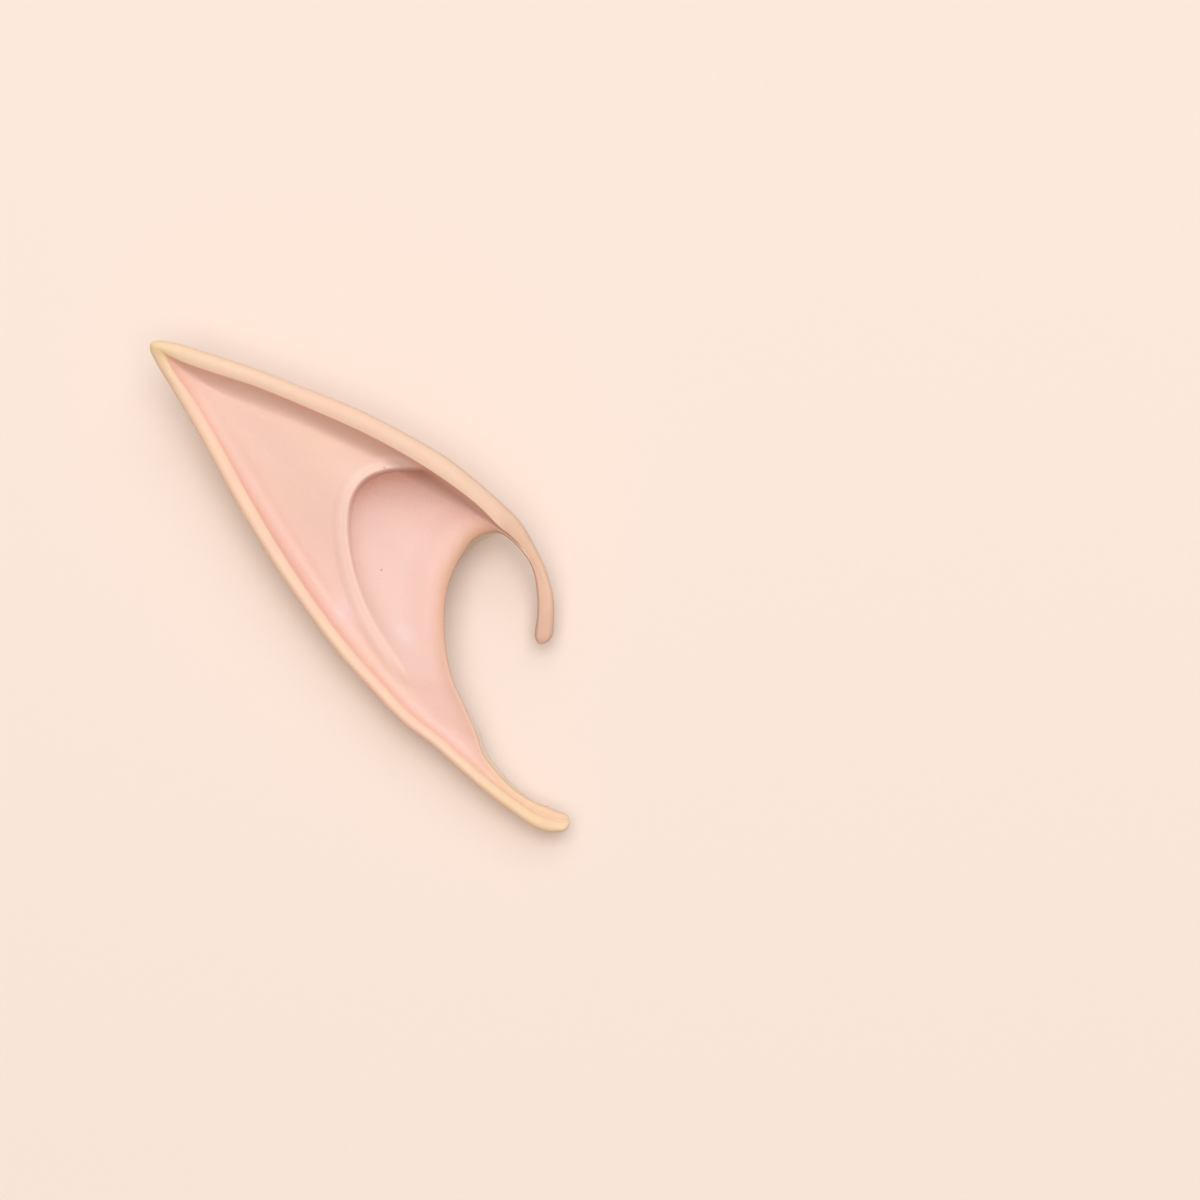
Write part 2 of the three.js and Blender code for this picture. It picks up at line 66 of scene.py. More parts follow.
PLAN = (
    (0.9645, 0.4115, 0.9375, 0.4110, 0.9195, 0.4110),
    (0.9668, 0.4500, 0.9411, 0.4500, 0.9253, 0.4500),
    (0.9640, 0.4900, 0.9388, 0.4900, 0.9252, 0.4900),
    (0.9442, 0.5460, 0.9231, 0.5430, 0.9140, 0.5420),
    (0.9140, 0.598, 0.8927, 0.5825, 0.8874, 0.5786),
    (0.8834, 0.640, 0.8600, 0.6110, 0.8512, 0.6066),
    (0.8434, 0.673, 0.8360, 0.6270, 0.8300, 0.6160),
    (0.7800, 0.720, 0.7870, 0.668, 0.8130, 0.6150),
    (0.7100, 0.766, 0.7160, 0.7144, 0.7900, 0.6095),
    (0.6200, 0.810, 0.6267, 0.7631, 0.7670, 0.5955),
    (0.5000, 0.862, 0.5150, 0.814, 0.7520, 0.5780),
    (0.3700, 0.906, 0.3838, 0.8635, 0.7400, 0.5620),
    (0.2400, 0.948, 0.2550, 0.908, 0.7290, 0.5440),
    (0.1300, 0.978, 0.1500, 0.937, 0.7205, 0.5280),
    (0.0600, 0.996, 0.0820, 0.957, 0.7160, 0.5180),
    (0.0200, 1.000, 0.0490, 0.969, 0.7130, 0.5110),
    (0.0040, 0.996, 0.0375, 0.971, 0.7110, 0.5040),
    (0.0000, 0.985, 0.0420, 0.961, 0.7090, 0.4960),
    (0.0120, 0.959, 0.0600, 0.935, 0.7070, 0.4860),
    (0.0500, 0.904, 0.0961, 0.891, 0.7040, 0.4660),
    (0.1150, 0.809, 0.1547, 0.807, 0.7025, 0.4430),
    (0.2000, 0.677, 0.2344, 0.683, 0.7030, 0.4100),
    (0.2850, 0.557, 0.3150, 0.568, 0.7065, 0.3750),
    (0.3700, 0.452, 0.3966, 0.465, 0.7150, 0.3380),
    (0.4500, 0.363, 0.4747, 0.3785, 0.7280, 0.3020),
    (0.5250, 0.293, 0.5467, 0.310, 0.7430, 0.2750),
    (0.6000, 0.227, 0.6188, 0.2445, 0.7620, 0.2380),
    (0.6700, 0.182, 0.6882, 0.1985, 0.7800, 0.2020),
    (0.7400, 0.129, 0.7578, 0.146, 0.7970, 0.1610),
    (0.8000, 0.085, 0.8144, 0.105, 0.8265, 0.1280),
    (0.8600, 0.046, 0.8660, 0.072, 0.8710, 0.0890),
    (0.9200, 0.012, 0.9200, 0.040, 0.9240, 0.0610),
    (0.9550, 0.002, 0.9530, 0.028, 0.9500, 0.0530),
    (0.9820, 0.0015, 0.9800, 0.020, 0.9770, 0.0425),
)
LAST_ROW = len(PLAN) - 1
TIP_ROW = 16

# Heights as shares of the ear's height, at the sections that the first column names.
HEIGHT_COLUMNS = ("at", "crest", "drop", "wall_run", "groove", "shelf", "edge", "lip", "under",
                  "belly", "back", "tuck", "hollow")
HEIGHTS = (
    (0, 0.34, 0.005, 0.2, 0.0, 0.330, 0.25, 1.0, 0.17, 0.17, 0.17, 0.1, 0.00),
    (2, 0.42, 0.005, 0.2, 0.0, 0.410, 0.33, 1.0, 0.21, 0.21, 0.21, 0.1, 0.00),
    (4, 0.59, 0.010, 0.2, 0.0, 0.575, 0.50, 1.0, 0.30, 0.30, 0.31, 0.1, 0.00),
    (6, 0.77, 0.020, 0.6, 0.0, 0.590, 0.53, 1.0, 0.34, 0.30, 0.28, -0.1, 0.20),
    (8, 0.91, 0.025, 1.9, 0.0, 0.585, 0.53, 1.0, 0.40, 0.14, 0.12, -0.4, 0.90),
    (10, 0.98, 0.025, 2.8, 0.0, 0.585, 0.53, 1.0, 0.48, 0.02, 0.05, -0.2, 1.00),
    (12, 1.00, 0.025, 3.0, 0.2, 0.585, 0.54, 1.0, 0.58, -0.10, 0.04, 0.6, 1.00),
    (14, 0.98, 0.025, 2.8, 0.2, 0.585, 0.55, 1.0, 0.66, -0.12, 0.04, 1.5, 1.00),
    (16, 0.94, 0.030, 2.6, 0.1, 0.585, 0.55, 1.0, 0.70, -0.12, 0.04, 1.5, 1.00),
    (18, 0.87, 0.030, 2.2, 0.2, 0.585, 0.55, 1.0, 0.62, -0.12, 0.04, 1.5, 1.00),
    (21, 0.69, 0.030, 1.8, 0.5, 0.580, 0.55, 0.9, 0.43, -0.12, 0.04, 1.5, 1.00),
    (24, 0.57, 0.030, 1.5, 0.5, 0.550, 0.52, 0.6, 0.31, -0.05, 0.05, 0.8, 1.00),
    (27, 0.51, 0.030, 1.0, 0.2, 0.470, 0.44, 0.4, 0.23, 0.06, 0.07, -0.2, 1.00),
    (29, 0.47, 0.025, 0.5, 0.0, 0.420, 0.38, 0.4, 0.19, 0.12, 0.12, -0.2, 0.50),
    (31, 0.41, 0.020, 0.4, 0.0, 0.370, 0.33, 0.6, 0.17, 0.15, 0.16, 0.0, 0.00),
    (33, 0.35, 0.010, 0.3, 0.0, 0.330, 0.28, 0.9, 0.16, 0.16, 0.17, 0.1, 0.00),
)

# Plan of the curled ridge's crisp inner side, with shares of its full height.
RIDGE_COLUMNS = ("x", "y", "rise")
RIDGE = (
    (0.9000, 0.700, 0.0),
    (0.7800, 0.738, 0.0),
    (0.6900, 0.749, 0.6),
    (0.6200, 0.748, 0.9),
    (0.5550, 0.743, 1.0),
    (0.5050, 0.722, 0.9),
    (0.4755, 0.684, 0.7),
    (0.4660, 0.631, 0.6),
    (0.4715, 0.570, 0.6),
    (0.4910, 0.504, 0.6),
    (0.5205, 0.442, 0.6),
    (0.5595, 0.384, 0.6),
    (0.5950, 0.336, 0.4),
    (0.6200, 0.300, 0.0),
    (0.6600, 0.240, 0.0),
)
RIDGE_STEPS = 240

# Small pits in the bowl: shares of the ear's width and length, and radii in metres.
PITS = (
    (0.547, 0.538, 0.00026),
    (0.557, 0.745, 0.00022),
)

# Patches of painted highlight, a pale sheen, in the bowl: shares of the ear's width and length,
# half lengths and half widths in millimetres, and turns from +X in degrees.
PAINTED_SHEENS = (
    (0.458, 0.459, 3.2, 1.5, -60.0),
    (0.605, 0.408, 2.6, 1.4, -50.0),
)

# Shares and powers of the form.
BAND_CREST = 0.5
BEAD_LEVEL = 0.4
BEAD_FALL = 0.65
SOLID_WALL = 0.42
POCKET_END_POWER = 4

# Most room that a part may take, as shares of the room that there is: wall and lip in the solid
# arms and in the hollow body, the bead, the rim and the band's roll.
WALL_IN_ARMS, WALL_IN_BODY = 0.45, 0.6
LIP_IN_ARMS, LIP_IN_BODY = 0.5, 0.3
BEAD_LIMIT = 0.5
RIM_LIMIT = 0.4
ROLL_OF_HEIGHT = 0.55
ROLL_OF_BAND = 0.9
ROLL_OF_DEPTH = 0.4

# Nearest and farthest place of the ridge, and where its face and the wall start at the earliest,
# as shares of the way from the lip or the bead; room for the face and the bead, as shares of their
# runs; how far the pocket goes on under the band, and its least height where it closes.
RIDGE_NEAREST, RIDGE_FARTHEST = 0.3, 0.6
FACE_START, WALL_START = 0.6, 0.3
FACE_ROOM, BEAD_ROOM, BEAD_EDGE = 1.3, 1.2, 0.05
POCKET_UNDER_BAND, POCKET_PINCH = 0.2, 0.2

# Least sine of the angle between ridge and section, and the least length that is divided by.
LEAST_SLANT = 0.45
LEAST_LENGTH = 1e-6

# Stretches of the ear that a colour covers, in rows of PLAN: where it fades in and over how many
# rows, and where it has faded out and over how many rows.
BEFORE, AFTER = -9.0, 99.0
STRETCHES = {
    "groove": (16.5, 3.0, 27.5, 3.0),
    "lip": (3.0, 3.0, 27.0, 7.0),
    "seam": (2.0, 3.0, 11.0, 4.0),
    "upper": (4.0, 3.0, 16.5, 2.0),
    "upper_wall": (5.0, 2.0, 16.0, 3.0),
    "arch": (BEFORE, 1.0, 12.5, 4.0),
    "concha": (6.0, 4.0, AFTER, 1.0),
    "lower_bowl": (23.5, 3.5, AFTER, 1.0),
    "hook": (BEFORE, 1.0, 7.2, 3.2),
    "hook_end": (BEFORE, 1.0, 1.8, 1.8),
    "tail": (27.2, 3.0, AFTER, 1.0),
}
TIP_ROWS = 2.4

# Places, runs and widths of the painted blends in millimetres, and shares where they are faint.
CREAM_START, CREAM_RUN, SIDE_RUN = 0.55, 0.9, 3.0
FLUSH_AWAY, FLUSH_WIDTH = 2.8, 2.6
# The wall's colour is painted shade: darker and oranger where the rim's inner wall stands in shadow.
WALL_PAINT_RUN = 2.6
# The lip's tan is partly its own colour and partly painted shade where the lip turns down away from
# the light.
LIP_PAINT_RUN, LIP_PAINT_LIMIT, LIP_FAINT = 4.2, 0.5, 0.5
# A thin darker tan line along the silhouette: its width, and its share away from the arch.
SILHOUETTE_LINE_WIDTH, SILHOUETTE_LINE_FAINT = 0.4, 0.3
CONCHA_PAINT_START, CONCHA_PAINT_RUN = 6.0, 9.0
# The bead's paler colour is a painted highlight where the raised bead catches the light.
BEAD_PAINT_RUN = 0.5

# Painted soft shade, a mauve that stands in for the shadow inside the ridge and under the rim beside
# the arch: strength and width of its narrow part at the ridge's side and top, and the rows of RIDGE
# over which side turns to top; strength and run of its wide part; where both start inside the
# ridge, and where the narrow part ends; strength and reach of the part below the rim.
SHADE_NARROW, SHADE_NARROW_WIDTH = (0.36, 0.74), (2.1, 3.4)
SHADE_TOP_ROW, SHADE_TOP_ROWS = 7.4, 2.6
SHADE_WIDE, SHADE_WIDE_RUN = 0.36, 12.0
SHADE_START, SHADE_START_RUN = 0.2, 0.8
SHADE_LAST_ROW, SHADE_LAST_ROWS = 12.5, 3.0
SHADE_RIM, SHADE_RIM_FAINT, SHADE_RIM_REACH = 0.25, 0.7, (5.0, 11.0)

# Painted layers of the bowl, of the rim and of the whole, from first to last: the attribute that
# says where, the colour, and its strength or the setting that holds it.
BOWL_LAYERS = (
    ("low", "concha", 1.0),
    ("groove", "groove", "flush"),
    # Painted highlight: the bead paler where it catches the light.
    ("bead", "bead", 0.9),
    # Painted shade: mauve inside the ridge's top and under the rim beside the arch.
    ("shade", "shade", "shading"),
    # Painted highlight: pale sheen patches where the bowl catches the light.
    ("painted_sheen", "painted_sheen", 0.5),
    # Painted shade: the rim's inner wall darker and oranger where it stands in shadow.
    ("wall", "wall", 0.6),
)
RIM_LAYERS = (
    ("upper", "rim_upper", 0.5),
    ("tip", "tip", 0.8),
)
TOP_LAYERS = (
    # Partly the lip's own tan, partly painted shade where it turns away from the light.
    ("lip", "lip", 0.85),
    ("hook", "hook", 0.7),
    ("hook_end", "hook_end", 0.6),
    ("tail", "tail", 0.6),
    ("seam", "seam", 0.6),
)

# Latex: waves to a metre, strengths of blur, grain and pits, bump, gloss, light under the skin.
MOTTLE_WAVES, CLOUD_WAVES, DIMPLE_WAVES, GRAIN_WAVES = 90.0, 38.0, 420.0, 2600.0
RIM_BLUR, GRAIN_COLOUR, GRAIN_HEIGHT = 0.25, 0.10, 0.35
PIT_COLOUR, PIT_DEPTH = 0.45, 2.0
BUMP_STRENGTH, BUMP_DISTANCE = 0.22, 0.00035
ROUGH_LOW, ROUGH_HIGH, LATEX_SPECULAR = 0.50, 0.60, 0.35
UNDER_SKIN, UNDER_SKIN_SCALE, UNDER_SKIN_RADIUS = 0.35, 0.003, (1.0, 0.45, 0.30)

# Table: waves to a metre, strength and colour of its grain, and gloss.
CARD_WAVES, CARD_GRAIN, CARD_GRAIN_COLOUR = 900.0, 0.04, (0.9, 0.8, 0.7)
CARD_ROUGHNESS, CARD_SPECULAR = 0.85, 0.2

# Mesh fineness: sections along the ear, and points across each part of a section.
SECTIONS = 408
POINTS_LIP = 12
POINTS_CONCHA = 24
POINTS_STEP = 10
POINTS_BEAD = 18
POINTS_SCAPHA = 20
POINTS_WALL = 22
POINTS_BAND = 26
POINTS_ROLL = 14
POINTS_HULL = 34
POINTS_POCKET = 24
CAP_RINGS = 9
CAP_TURN = 0.93
OUTLINE_STEPS = 8
POCKET_PROBES = 60


def table_column(table, columns, name):
    return np.array([row[columns.index(name)] for row in table], dtype=float)


def smooth_rows(stations, values, u):
    """Values at u on a cubic through the rows, whose tangents are harmonic means of the slopes
    beside them, so that the curve never overshoots its rows."""
    u = np.clip(u, stations[0], stations[-1])
    slopes = np.diff(values) / np.diff(stations)
    before, after = slopes[:-1], slopes[1:]
    turning = before * after <= 0
    total = np.where(turning, 1.0, before + after)
    tangents = np.zeros_like(values)
    tangents[1:-1] = np.where(turning, 0.0, 2 * before * after / total)
    i = np.clip(np.searchsorted(stations, u, side="right") - 1, 0, len(stations) - 2)
    span = stations[i + 1] - stations[i]
    t = (u - stations[i]) / span
    rise = t * t * (3 - 2 * t)
    enter = t * (1 - t) ** 2 * span * tangents[i]
    leave = t * t * (t - 1) * span * tangents[i + 1]
    return values[i] + (values[i + 1] - values[i]) * rise + enter + leave


def plan_curve(points, u):
    """Points at u on a centripetal Catmull-Rom curve: each stretch between two of the points is a
    cubic whose tangents weigh its neighbours by the square root of their distance."""
    padded = np.vstack([2 * points[0] - points[1], points, 2 * points[-1] - points[-2]])
    i = np.clip(np.floor(u).astype(int), 0, len(points) - 2)
    t = (u - i)[:, None]
    p0, p1, p2, p3 = (padded[i + k] for k in range(4))
    d0, d1, d2 = (np.sqrt(np.linalg.norm(b - a, axis=1))[:, None]
                  for a, b in ((p0, p1), (p1, p2), (p2, p3)))
    m1 = ((p1 - p0) / d0 - (p2 - p0) / (d0 + d1) + (p2 - p1) / d1) * d1
    m2 = ((p2 - p1) / d1 - (p3 - p1) / (d1 + d2) + (p3 - p2) / d2) * d1
    c2 = -3 * p1 + 3 * p2 - 2 * m1 - m2
    c3 = 2 * p1 - 2 * p2 + m1 + m2
    return p1 + m1 * t + c2 * t**2 + c3 * t**3


def table_curve(table, columns, x_name, y_name, size, u):
    """The plan curve through two columns of shares, in millimetres."""
    shares = np.column_stack([table_column(table, columns, x_name),
                              table_column(table, columns, y_name)])
    return plan_curve(shares * size[:2], u)


def distance_to(points, line):
    """Least plan distance from each point to the straight pieces that join the line's points."""
    start, piece = line[:-1], np.diff(line, axis=0)
    gap = points[..., None, :] - start
    along = np.clip((gap * piece).sum(-1) / (piece**2).sum(-1), 0, 1)
    return np.linalg.norm(gap - along[..., None] * piece, axis=-1).min(-1)


def cross(a, b):
    return a[..., 0] * b[..., 1] - a[..., 1] * b[..., 0]


def between(low, high, share):
    return low + (high - low) * share


def smoothstep(x):
    x = np.clip(x, 0, 1)
    return x * x * (3 - 2 * x)


class EarSurface:
    """The ear's sections as arrays: one row for each section, one column for each point of it."""

    def __init__(self, form):
        self.form = form
        self.size = np.array([form.width, form.length, form.height]) / MM
        self.lengths = {name: getattr(form, name) / MM for name in (
            "wall", "lip_width", "rim_depth", "ridge_width", "ridge_height", "concha_step",
            "groove_depth", "groove_width", "back_run", "back_round", "pocket_end_gap", "dimple",
            "sag_depth", "sag_high", "sag_low", "sag_run", "ridge_face", "concha_run", "concha_low",
            "concha_rise", "lip_shore", "rim_clear", "rim_shore")}
        self.u = np.linspace(0, LAST_ROW, SECTIONS)
        outline_u = np.linspace(0, LAST_ROW, LAST_ROW * OUTLINE_STEPS + 1)
        outline = table_curve(PLAN, PLAN_COLUMNS, "out_x", "out_y", self.size, outline_u)
        tip = TIP_ROW * OUTLINE_STEPS
        self.upper_rim, self.lower_rim = outline[: tip + 1], outline[tip:]
        self.measure_sections()

    def height(self, name):
        return smooth_rows(table_column(HEIGHTS, HEIGHT_COLUMNS, "at"),
                           table_column(HEIGHTS, HEIGHT_COLUMNS, name), self.u)

    def measure_sections(self):
        """Plan lines and all lengths of the sections, in millimetres, as columns of one number."""
        s, lengths = self, self.lengths
        s.edge, s.band, s.out = (
            table_curve(PLAN, PLAN_COLUMNS, f"{name}_x", f"{name}_y", s.size, s.u)
            for name in ("edge", "band", "out"))
        inward, outward = s.band - s.edge, s.out - s.band
        s.inner = np.linalg.norm(inward, axis=1)[:, None]
        s.width = s.inner + np.linalg.norm(outward, axis=1)[:, None]
        s.inward = inward / s.inner
        s.outward = outward / (s.width - s.inner)
        for name in ("crest", "drop", "shelf", "edge", "under", "belly", "back"):
            setattr(s, f"{name}_z", s.height(name)[:, None] * s.size[2])
        s.groove = s.height("groove")[:, None] * lengths["groove_depth"]
        s.hollow = s.height("hollow")[:, None]
        s.tuck = s.height("tuck")[:, None] * lengths["lip_width"]
        wall_run = s.height("wall_run")[:, None] * lengths["rim_depth"]
        wall_limit = between(WALL_IN_ARMS, WALL_IN_BODY, s.hollow) * s.inner
        s.wall_run = np.minimum(wall_run, wall_limit)
        lip_run = s.height("lip")[:, None] * lengths["lip_width"]
        s.lip_run = np.minimum(lip_run, between(LIP_IN_ARMS, LIP_IN_BODY, s.hollow) * s.inner)
        s.foot_r = s.inner - s.wall_run
        s.rim_run = np.minimum(lengths["rim_depth"], RIM_LIMIT * s.width)
        roll = np.minimum(ROLL_OF_HEIGHT * (s.crest_z - s.under_z),
                          ROLL_OF_BAND * (s.width - s.inner))
        s.band_roll = np.minimum(roll, ROLL_OF_DEPTH * lengths["rim_depth"])
        self.measure_ridge()

    def measure_ridge(self):
        """Where the ridge's line crosses each section, from the crossings of all its straight
        pieces with all the sections, and how long its face and bead are along the section."""
        s, lengths = self, self.lengths
        steps = np.linspace(0, len(RIDGE) - 1, RIDGE_STEPS + 1)
        s.ridge_line = table_curve(RIDGE, RIDGE_COLUMNS, "x", "y", s.size, steps)
        piece = np.diff(s.ridge_line, axis=0)[None]
        along = (s.band - s.edge)[:, None]
        gap = s.ridge_line[None, :-1] - s.edge[:, None]
        turn = cross(along, piece)
        share = cross(gap, piece) / turn
        w = cross(gap, along) / turn
        hit = (share > 0) & (share < 1) & (w >= 0) & (w < 1)
        found = hit.any(axis=1)
        k = hit.argmax(axis=1)
        n = np.arange(len(s.u))
        slant = np.abs(turn[n, k]) / (s.inner[:, 0] * np.linalg.norm(piece[0, k], axis=1))
        s.slant = np.where(found, np.maximum(slant, LEAST_SLANT), 1.0)[:, None]
        share = np.where(found, share[n, k], 1.0)[:, None]
        high = np.maximum(between(s.lip_run, s.inner, RIDGE_FARTHEST),
                          s.inner - lengths["rim_clear"])
        s.ridge_r = np.clip(share * s.inner, between(s.lip_run, high, RIDGE_NEAREST), high)
        s.bead_run = np.minimum(lengths["ridge_width"] / s.slant,
                                BEAD_LIMIT * (s.inner - s.ridge_r))

    def ridge_place(self, points):
        """Signed plan distance from the ridge's line, which is positive outside it, and the way
        along that line in rows of its table."""
        start, piece = self.ridge_line[:-1], np.diff(self.ridge_line, axis=0)
        gap = points[..., None, :] - start
        w = np.clip((gap * piece).sum(-1) / (piece**2).sum(-1), 0, 1)
        away = np.linalg.norm(gap - w[..., None] * piece, axis=-1)
        k = away.argmin(axis=-1)[..., None]
        side = -np.sign(cross(piece, gap))
        q = (np.take_along_axis(away * side, k, axis=-1))[..., 0]
        row = (k + np.take_along_axis(w, k, axis=-1))[..., 0] / RIDGE_STEPS * (len(RIDGE) - 1)
        return q, row

    def ridge_bead(self, q, row):
        """Share of the ridge's full height at q outside its line: level, then an S-curve down."""
        rows = np.arange(len(RIDGE), dtype=float)
        rise = smooth_rows(rows, table_column(RIDGE, RIDGE_COLUMNS, "rise"), row)
        x = q / self.lengths["ridge_width"]
        return rise * (1 - smoothstep((x - BEAD_LEVEL) / BEAD_FALL))

    def ridge_relief(self, points, under=False):
        """Height of ridge and concha over the plain floor, from the signed plan distance q to the
        ridge's line. Outside it is the bead. Inside it is the concha: a first drop and then the
        rest along an S-curve, as much of both as another S-curve up the ear's length gives. A
        steep S-curve joins the two sides. Under it the wall has no bead and a softer first
        drop."""
        lengths = self.lengths
        q, row = self.ridge_place(points)
        bead = self.ridge_bead(q, row) * lengths["ridge_height"]
        up = smoothstep((points[..., 1] - lengths["concha_low"]) / lengths["concha_rise"])
        width, face = lengths["ridge_width"], lengths["ridge_face"]
        depth, first = up * lengths["concha_step"], self.form.first_drop
        slope = (1 - first) * smoothstep(-q / lengths["concha_run"])
        if under:
            return -depth * (first * smoothstep((width - q) / (width + face)) + slope)
        return between(-depth * (first + slope), bead, smoothstep((q + face) / face))

    def plan(self, r):
        """Plan points at r: along the section to the band's inner edge, then across the band."""
        within = np.minimum(r, self.inner)[..., None]
        beyond = np.maximum(r - self.inner, 0)[..., None]
        return self.edge[:, None] + self.inward[:, None] * within + self.outward[:, None] * beyond

    def floor_z(self, r):
        """A gentle slope from the shelf, less the sag and a bell-shaped groove along the wall's
        foot."""
        s = self
        away = np.maximum(s.foot_r - r, 0) / s.lengths["groove_width"]
        sag = s.sag(s.plan(r)) - s.sag(s.edge)[:, None]
        slope = s.shelf_z + s.form.floor_slope * np.minimum(r, s.foot_r)
        return slope - sag - s.groove * np.exp(-away * away)

    def sag(self, points):
        """How far the floor hangs at plan points: an S-curve across the line from tip to tail,
        nothing above it and full below it, that fades out towards the tip."""
        lengths = self.lengths
        tip, tail = self.upper_rim[-1], self.lower_rim[-1]
        along = (tail - tip) / np.linalg.norm(tail - tip)
        across = np.array([-along[1], along[0]])
        high, low = lengths["sag_high"], -lengths["sag_low"]
        share = smoothstep((high - (points - tip) @ across) / (high - low))
        fade = smoothstep((points - tip) @ along / lengths["sag_run"])
        return lengths["sag_depth"] * share * fade

    def relief(self, r, under=False):
        """Ridge and concha at r: S-curves take them to nothing at the lip and at the rim."""
        s, lengths = self, self.lengths
        shore = smoothstep((r - s.lip_run) / lengths["lip_shore"])
        high = smoothstep((s.inner - lengths["rim_clear"] - r) / lengths["rim_shore"])
        return s.ridge_relief(s.plan(r), under) * shore * high

    def front_z(self, r):
        """Front of the ear at r: quarter-round lip, floor with its ridge and concha, a wall that
        turns up as a power of its run, and a band that is an arc on each side of its crest."""
        s = self
        lip = np.clip(1 - r / s.lip_run, 0, 1)
        z = s.floor_z(r) - (s.shelf_z - s.edge_z) * (1 - np.sqrt(1 - lip * lip))
        up = np.clip((r - s.foot_r) / s.wall_run, 0, 1)
        wall_rise = s.crest_z - s.drop_z - s.floor_z(s.inner)
        wall = s.floor_z(r) + wall_rise * up**s.form.wall_bend
        f = np.clip((r - s.inner) / (s.width - s.inner), 0, 1)
        low = np.clip((BAND_CREST - f) / BAND_CREST, 0, 1)
        high = np.clip((f - BAND_CREST) / (1 - BAND_CREST), 0, 1)
        band = s.crest_z - s.drop_z * low**2 - s.band_roll * (1 - np.sqrt(1 - high * high))
        floor = np.where(r < s.foot_r, z, wall) + s.relief(np.minimum(r, s.inner))
        return np.where(r < s.inner, floor, band)

    def hull_z(self, r):
        """Back of the ear at r: it falls away from both rims and blends, by a smooth greater-of,
        into a belly that rises to the back edge; below the table it is cut flat."""
        s, lengths = self, self.lengths
        points = s.plan(r)
        upper = np.maximum(distance_to(points, s.upper_rim) - lengths["rim_depth"], 0)
        lower = np.maximum(distance_to(points, s.lower_rim) - lengths["rim_depth"], 0)
        inside = upper * lower / np.maximum(np.hypot(upper, lower), LEAST_LENGTH)
        side = s.under_z - s.form.hull_slope * inside
        back_run = np.minimum(lengths["back_run"], s.width / 2)
        base = between(s.back_z, s.belly_z, smoothstep(r / back_run))
        rounding = lengths["back_round"] * s.hollow
        return np.maximum(0, (side + base + np.hypot(side - base, rounding)) / 2)

    def front_grid(self):
        """Points of r across the front, close together where it turns."""
        s = self
        face_run = FACE_ROOM * s.lengths["ridge_face"] / s.slant
        step_r = np.maximum(s.ridge_r - face_run, between(s.lip_run, s.ridge_r, FACE_START))
        bead_r = s.ridge_r + BEAD_EDGE * s.bead_run
        foot_r = s.ridge_r + BEAD_ROOM * s.bead_run
        wall_r = np.maximum(s.foot_r, between(foot_r, s.inner, WALL_START))
        stops = (0 * s.inner, s.lip_run, step_r, bead_r, foot_r, wall_r, s.inner)
        counts = (POINTS_LIP, POINTS_CONCHA, POINTS_STEP, POINTS_BEAD, POINTS_SCAPHA, POINTS_WALL)
        parts = []
        for low, high, count in zip(stops[:-1], stops[1:], counts):
            share = np.arange(count) / count
            if count == POINTS_LIP:
                share = 1 - np.cos(share * np.pi / 2)
            parts.append(between(low, high, share))
        turn = np.linspace(-1, 1, POINTS_BAND) * np.pi / 2
        share = BAND_CREST + np.where(turn < 0, BAND_CREST, 1 - BAND_CREST) * np.sin(turn)
        parts.append(between(s.inner, s.width, share))
        return np.hstack(parts)

    def back_grid(self):
        """r and z of the rolled side and of the hull, from below the silhouette to the back edge."""
        s = self
        turn = np.arange(1, POINTS_ROLL + 1) / POINTS_ROLL * np.pi / 2
        side_z = s.crest_z - s.band_roll
        roll_r = s.width - s.rim_run * (1 - np.cos(turn))
        roll_z = between(side_z, s.under_z, np.sin(turn))
        share = np.arange(1, POINTS_HULL + 1) / POINTS_HULL
        hull_r = between(s.width - s.rim_run, s.tuck, share)
        return np.hstack([roll_r, hull_r]), np.hstack([roll_z, s.hull_z(hull_r)])

    def pocket_z(self, r, wall):
        s = self
        lip = between(s.edge_z, s.shelf_z, r / s.lip_run)
        front = np.minimum(s.floor_z(r) + s.relief(r, under=True), lip)
        return s.hull_z(r) + wall, front - wall

    def pocket_grid(self):
        """r and z inside the pocket: out along the back wall to a round blind end, where the two
        walls come close, and back under the front wall to the crescent's edge."""
        s, lengths = self, self.lengths
        wall = np.minimum(lengths["wall"], SOLID_WALL * (s.edge_z - s.back_z))
        mouth = np.maximum(s.tuck, 0)
        start = mouth + lengths["dimple"]
        full = s.inner + POCKET_UNDER_BAND * (s.width - s.inner)
        probes = between(start, full, np.arange(1, POCKET_PROBES + 1) / POCKET_PROBES)
        low, high = s.pocket_z(probes, wall)
        shut = high - low < lengths["pocket_end_gap"]
        first = np.where(shut.any(axis=1), shut.argmax(axis=1), POCKET_PROBES - 1)
        reach = np.take_along_axis(probes, first[:, None], axis=1)
        end = between(start, reach, s.hollow)
        share = np.sin(np.arange(1, POINTS_POCKET + 1) / POINTS_POCKET * np.pi / 2)
        r = between(mouth, end, share)
        low, high = s.pocket_z(r, wall)
        half = np.maximum(high - low, POCKET_PINCH * wall) / 2
        half *= np.sqrt(1 - share**POCKET_END_POWER)
        middle = (low + high) / 2
        grid_r = np.hstack([s.tuck, r, r[:, -2::-1], 0 * s.tuck])
        grid_z = np.hstack([s.back_z + wall, middle - half, (middle + half)[:, -2::-1],
                            s.edge_z - wall])
        return grid_r, grid_z

    def loops(self):
        """All section loops as an array of sections, points and coordinates, and for each point
        its r, with the count of points that lie on the front."""
        front_r = self.front_grid()
        back_r, back_z = self.back_grid()
        pocket_r, pocket_z = self.pocket_grid()
        r = np.hstack([front_r, back_r, pocket_r])
        z = np.hstack([self.front_z(front_r), back_z, pocket_z])
        return np.dstack([self.plan(r), z]), r, front_r.shape[1], back_r.shape[1]


